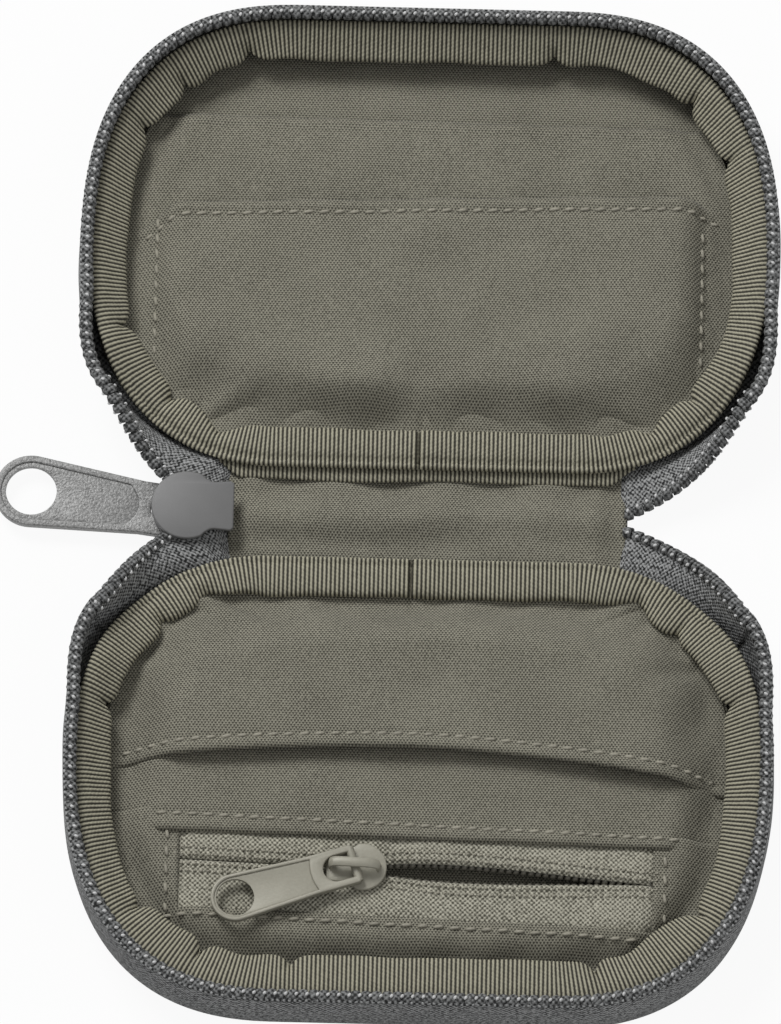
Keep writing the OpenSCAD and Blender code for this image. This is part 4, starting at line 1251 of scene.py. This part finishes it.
def fold_cloth(half):
    x, v = (np.linspace(-size / 2, size / 2, count) for size, count in ((FOLD_CLOTH_L, 24), (FOLD_CLOTH_W, 41)))
    gx, gv = np.meshgrid(x, v, indexing="ij")
    grid = place(half, np.stack([gx, gv, FOLD_CLOTH_Z + 0 * gx], -1))
    made = skin(PLAN[half] + "_fold_cloth", grid, FOLD_CLOTH_T, outer_finish, np.stack([gx, gv, 0 * gx], -1))
    dress(made)
    fold_blend(made, half)
    return len(made.data.polygons)


print("fold cloth faces:", [fold_cloth(half) for half in BODY])

# %% Zip tails in the spine
TAIL_Z, TAIL_CLIMB_X, TAIL_CLIMB = 1.25, 32.5, 3.2


def tail_rise(x, y):
    """The left tail climbs from between the spine's cloths to the height of the chain in the slider."""
    climb = ease((-x - TAIL_CLIMB_X) / TAIL_CLIMB)
    return TAIL_Z + (CHAIN_Z - TAIL_Z) * climb


strip("left_zip_tail_tape", np.linspace(-37.6, -28, 30), np.linspace(-2.0, 2.0, 8), tail_rise, 0.9, tape_finish,
      ("left_zip_tail",))
strip("right_zip_tail_tape", np.linspace(28, 33.6, 12), np.linspace(-9.5, 9.5, 16), lambda x, y: 1.3 + 0 * x, 0.5,
      tape_finish, ("right_zip_tail",))
print("zip tails: 2")

# %% [markdown]
# ## Sliders and pulls
# These are small castings: flat plates with softly rounded edges. A filled 2D curve with a bevel gives just that,
# holes included, where a bevelled mesh would need its edges picked one by one. The pulls have a raised rim round a
# sunk face, made as two plates of different thickness.


# %% Plates, rods and castings
def plate(loops, low, high, round_off):
    """A flat plate with rounded edges, from an outline and its holes."""
    data = bpy.data.curves.new("plate", "CURVE")
    data.dimensions, data.fill_mode = "2D", "BOTH"
    for loop in loops:
        line = data.splines.new("POLY")
        line.points.add(len(loop) - 1)
        for point, (x, y) in zip(line.points, loop):
            point.co = (x, y, 0, 1)
        line.use_cyclic_u = True
    data.extrude, data.bevel_depth, data.bevel_resolution = (high - low) / 2 - round_off, round_off, 2
    data.offset = -round_off
    obj = in_scene("plate", data)
    bpy.context.view_layer.update()
    made = plain_mesh(obj, "plate")
    made.data.transform(Matrix.Translation((0, 0, (low + high) / 2)))
    return made


def rod(line, radii, sides=12):
    made = bead("rod", line, radii, sides)
    made.data.transform(Matrix.Scale(1000, 4))
    return made


def casting(name, parts, matrix, material):
    """Joins plates and rods, given in millimetres, into one piece and sets it in place."""
    work = bmesh.new()
    for part in parts:
        part.data.transform(matrix)
        work.from_mesh(part.data)
        bpy.data.objects.remove(part)
    bmesh.ops.remove_doubles(work, verts=work.verts, dist=1e-4)
    bmesh.ops.scale(work, vec=(0.001, 0.001, 0.001), verts=work.verts)
    bmesh.ops.recalc_face_normals(work, faces=work.faces)
    mesh = bpy.data.meshes.new(name)
    work.to_mesh(mesh)
    work.free()
    mesh.materials.append(material)
    smooth(mesh)
    mesh.set_sharp_from_angle(angle=math.radians(35))
    print("%s: %d faces" % (name, len(mesh.polygons)))
    return in_scene(name, mesh)


# %% Outlines of the castings
def arc(x, y, r, start, stop, count=24):
    a = np.radians(np.linspace(start, stop, count))
    return [(x + r * math.cos(t), y + r * math.sin(t)) for t in a]


def both_sides(upper):
    """A loop from its upper half."""
    return list(upper) + [(x, -y) for x, y in reversed(list(upper))]


def pull_parts(reach, ring_r, hole_r, root_w, eye_w, eye_l, thick, rim, bow, pin):
    """A pull along -x from its pin at the origin, with a ring at its far end and a sunk face between."""
    h, neck = thick / 2, eye_l + 1.6
    lean = math.degrees(math.atan2(ring_r - root_w / 2, reach - neck))
    fork = [(0.1, eye_w / 2), (0.5, eye_w / 2 + 0.3), (0.5, root_w / 2 - 0.7), (0.1, root_w / 2)]
    inner = arc(eye_w / 2 - eye_l, 0, eye_w / 2, 179, 90, 10)
    outer = both_sides(inner + fork + [(-neck, root_w / 2)] + arc(-reach, 0, ring_r, 90 - lean, 180, 40)[:-1])
    hole = arc(-reach, 0, hole_r, 0, 360, 49)[:-1]
    near = -neck - 0.5
    low = root_w / 2 + (ring_r - root_w / 2) * (bow - near - neck) / (reach - neck) - rim
    bend = [(near - bow * f * f, low * f) for f in np.linspace(0.01, 1, 9)]
    sunk = both_sides(bend + arc(-reach, 0, ring_r - rim, 90 - lean, 180, 30)[:-1])
    return [plate([outer, sunk], -h, h, 0.22), plate([sunk, hole], -h + 0.3, h - 0.3, 0.05),
            rod([(0, -root_w / 2 + 0.3, 0), (0, 0, 0), (0, root_w / 2 - 0.3, 0)], [(pin, pin)] * 3)]


print("points of a half circle:", len(arc(0, 0, 1, 0, 180)))


# %% Main slider and pull
def main_slider():
    tail = [(3.0, 4.75), (3.9, 4.2), (4.6, 4.1), (7.2, 4.35), (7.75, 3.9)]
    shield = both_sides(arc(0, 0, 5.9, 180, 62, 36)[:-1] + tail)
    low = both_sides(arc(0, 0, 5.6, 180, 58, 30) + [(3.2, 4.2)])
    bail = [(-5.1, 0, 3.1), (-5.0, 0, 1.2), (-4.4, 0, 0.65), (-1, 0, 0.62), (2.4, 0, 0.65), (3.0, 0, 1.2),
            (3.1, 0, 3.1)]
    parts = [plate([shield], 5.75, 6.55, 0.28), plate([low], 2.95, 3.55, 0.15),
             rod([(-4.4, 0, 3.2), (-4.4, 0.001, 4.6), (-4.4, 0, 6.0)], [(0.8, 0.8)] * 3),
             rod(bail, [(0.95, 0.4)] * 7)]
    return casting("main_slider_body", parts, Matrix.Translation((SLIDER_X, 0, 0)), slider_finish)


dress(main_slider(), "main_slider", ("main_slider",))
main_pull = pull_parts(reach=25.0, ring_r=6.1, hole_r=4.2, root_w=9.0, eye_w=3.0, eye_l=5.0, thick=1.5, rim=1.15,
                       bow=1.9, pin=0.8)
hang = Matrix.Translation((SLIDER_X - 1.0, 0, 1.95)) @ Matrix.Rotation(math.radians(-7.5), 4, "Z")
dress(casting("main_pull_tab", main_pull, hang, pull_finish), "main_pull", ("main_pull",))

# %% Coin slider and pull
zip_matrix = Matrix.Translation((0, -(FOLD_Y + ZIP_V), 0)) @ Matrix.Rotation(-ZIP_TURN, 4, "Z")


def coin_slider():
    top = both_sides([(-5.9, 2.2), (-5.4, 2.75), (-2.2, 2.75), (-1.6, 3.3)] + arc(0, 0, 4.0, 100, 0, 30)[:-1])
    low = both_sides([(-5.9, 2.3), (-5.5, 2.7), (-2.2, 2.7)] + arc(0, 0, 3.9, 105, 0, 30)[:-1])
    bail = [(-5.2, 0, 7.2), (-5.1, 0, 8.8), (-4.6, 0, 9.4), (-3.6, 0, 9.6), (0.6, 0, 9.6), (1.8, 0, 9.4),
            (2.5, 0, 8.8), (2.7, 0, 7.2)]
    parts = [plate([top], 6.75, 7.45, 0.25), plate([low], 3.78, 4.42, 0.2),
             rod([(3.0, 0, 4.1), (3.0, 0.001, 5.6), (3.0, 0, 7.0)], [(0.36, 0.36)] * 3),
             rod(bail, [(0.85, 0.42)] * 8)]
    return casting("coin_slider_body", parts, zip_matrix @ Matrix.Translation((-8.7, 0, 0)), coin_metal_finish)


dress(coin_slider(), "coin_slider", ("coin_slider",))
coin_pull = pull_parts(reach=20.2, ring_r=4.0, hole_r=3.1, root_w=6.6, eye_w=4.4, eye_l=5.2, thick=1.3, rim=0.6,
                       bow=-0.5, pin=0.7)
hang = zip_matrix @ Matrix.Translation((-10.0, 0, 8.3)) @ Matrix.Rotation(math.radians(20.0), 4, "Z")
dress(casting("coin_pull_tab", coin_pull, hang, coin_metal_finish), "coin_pull", ("coin_pull",))

# %% [markdown]
# ## Finish
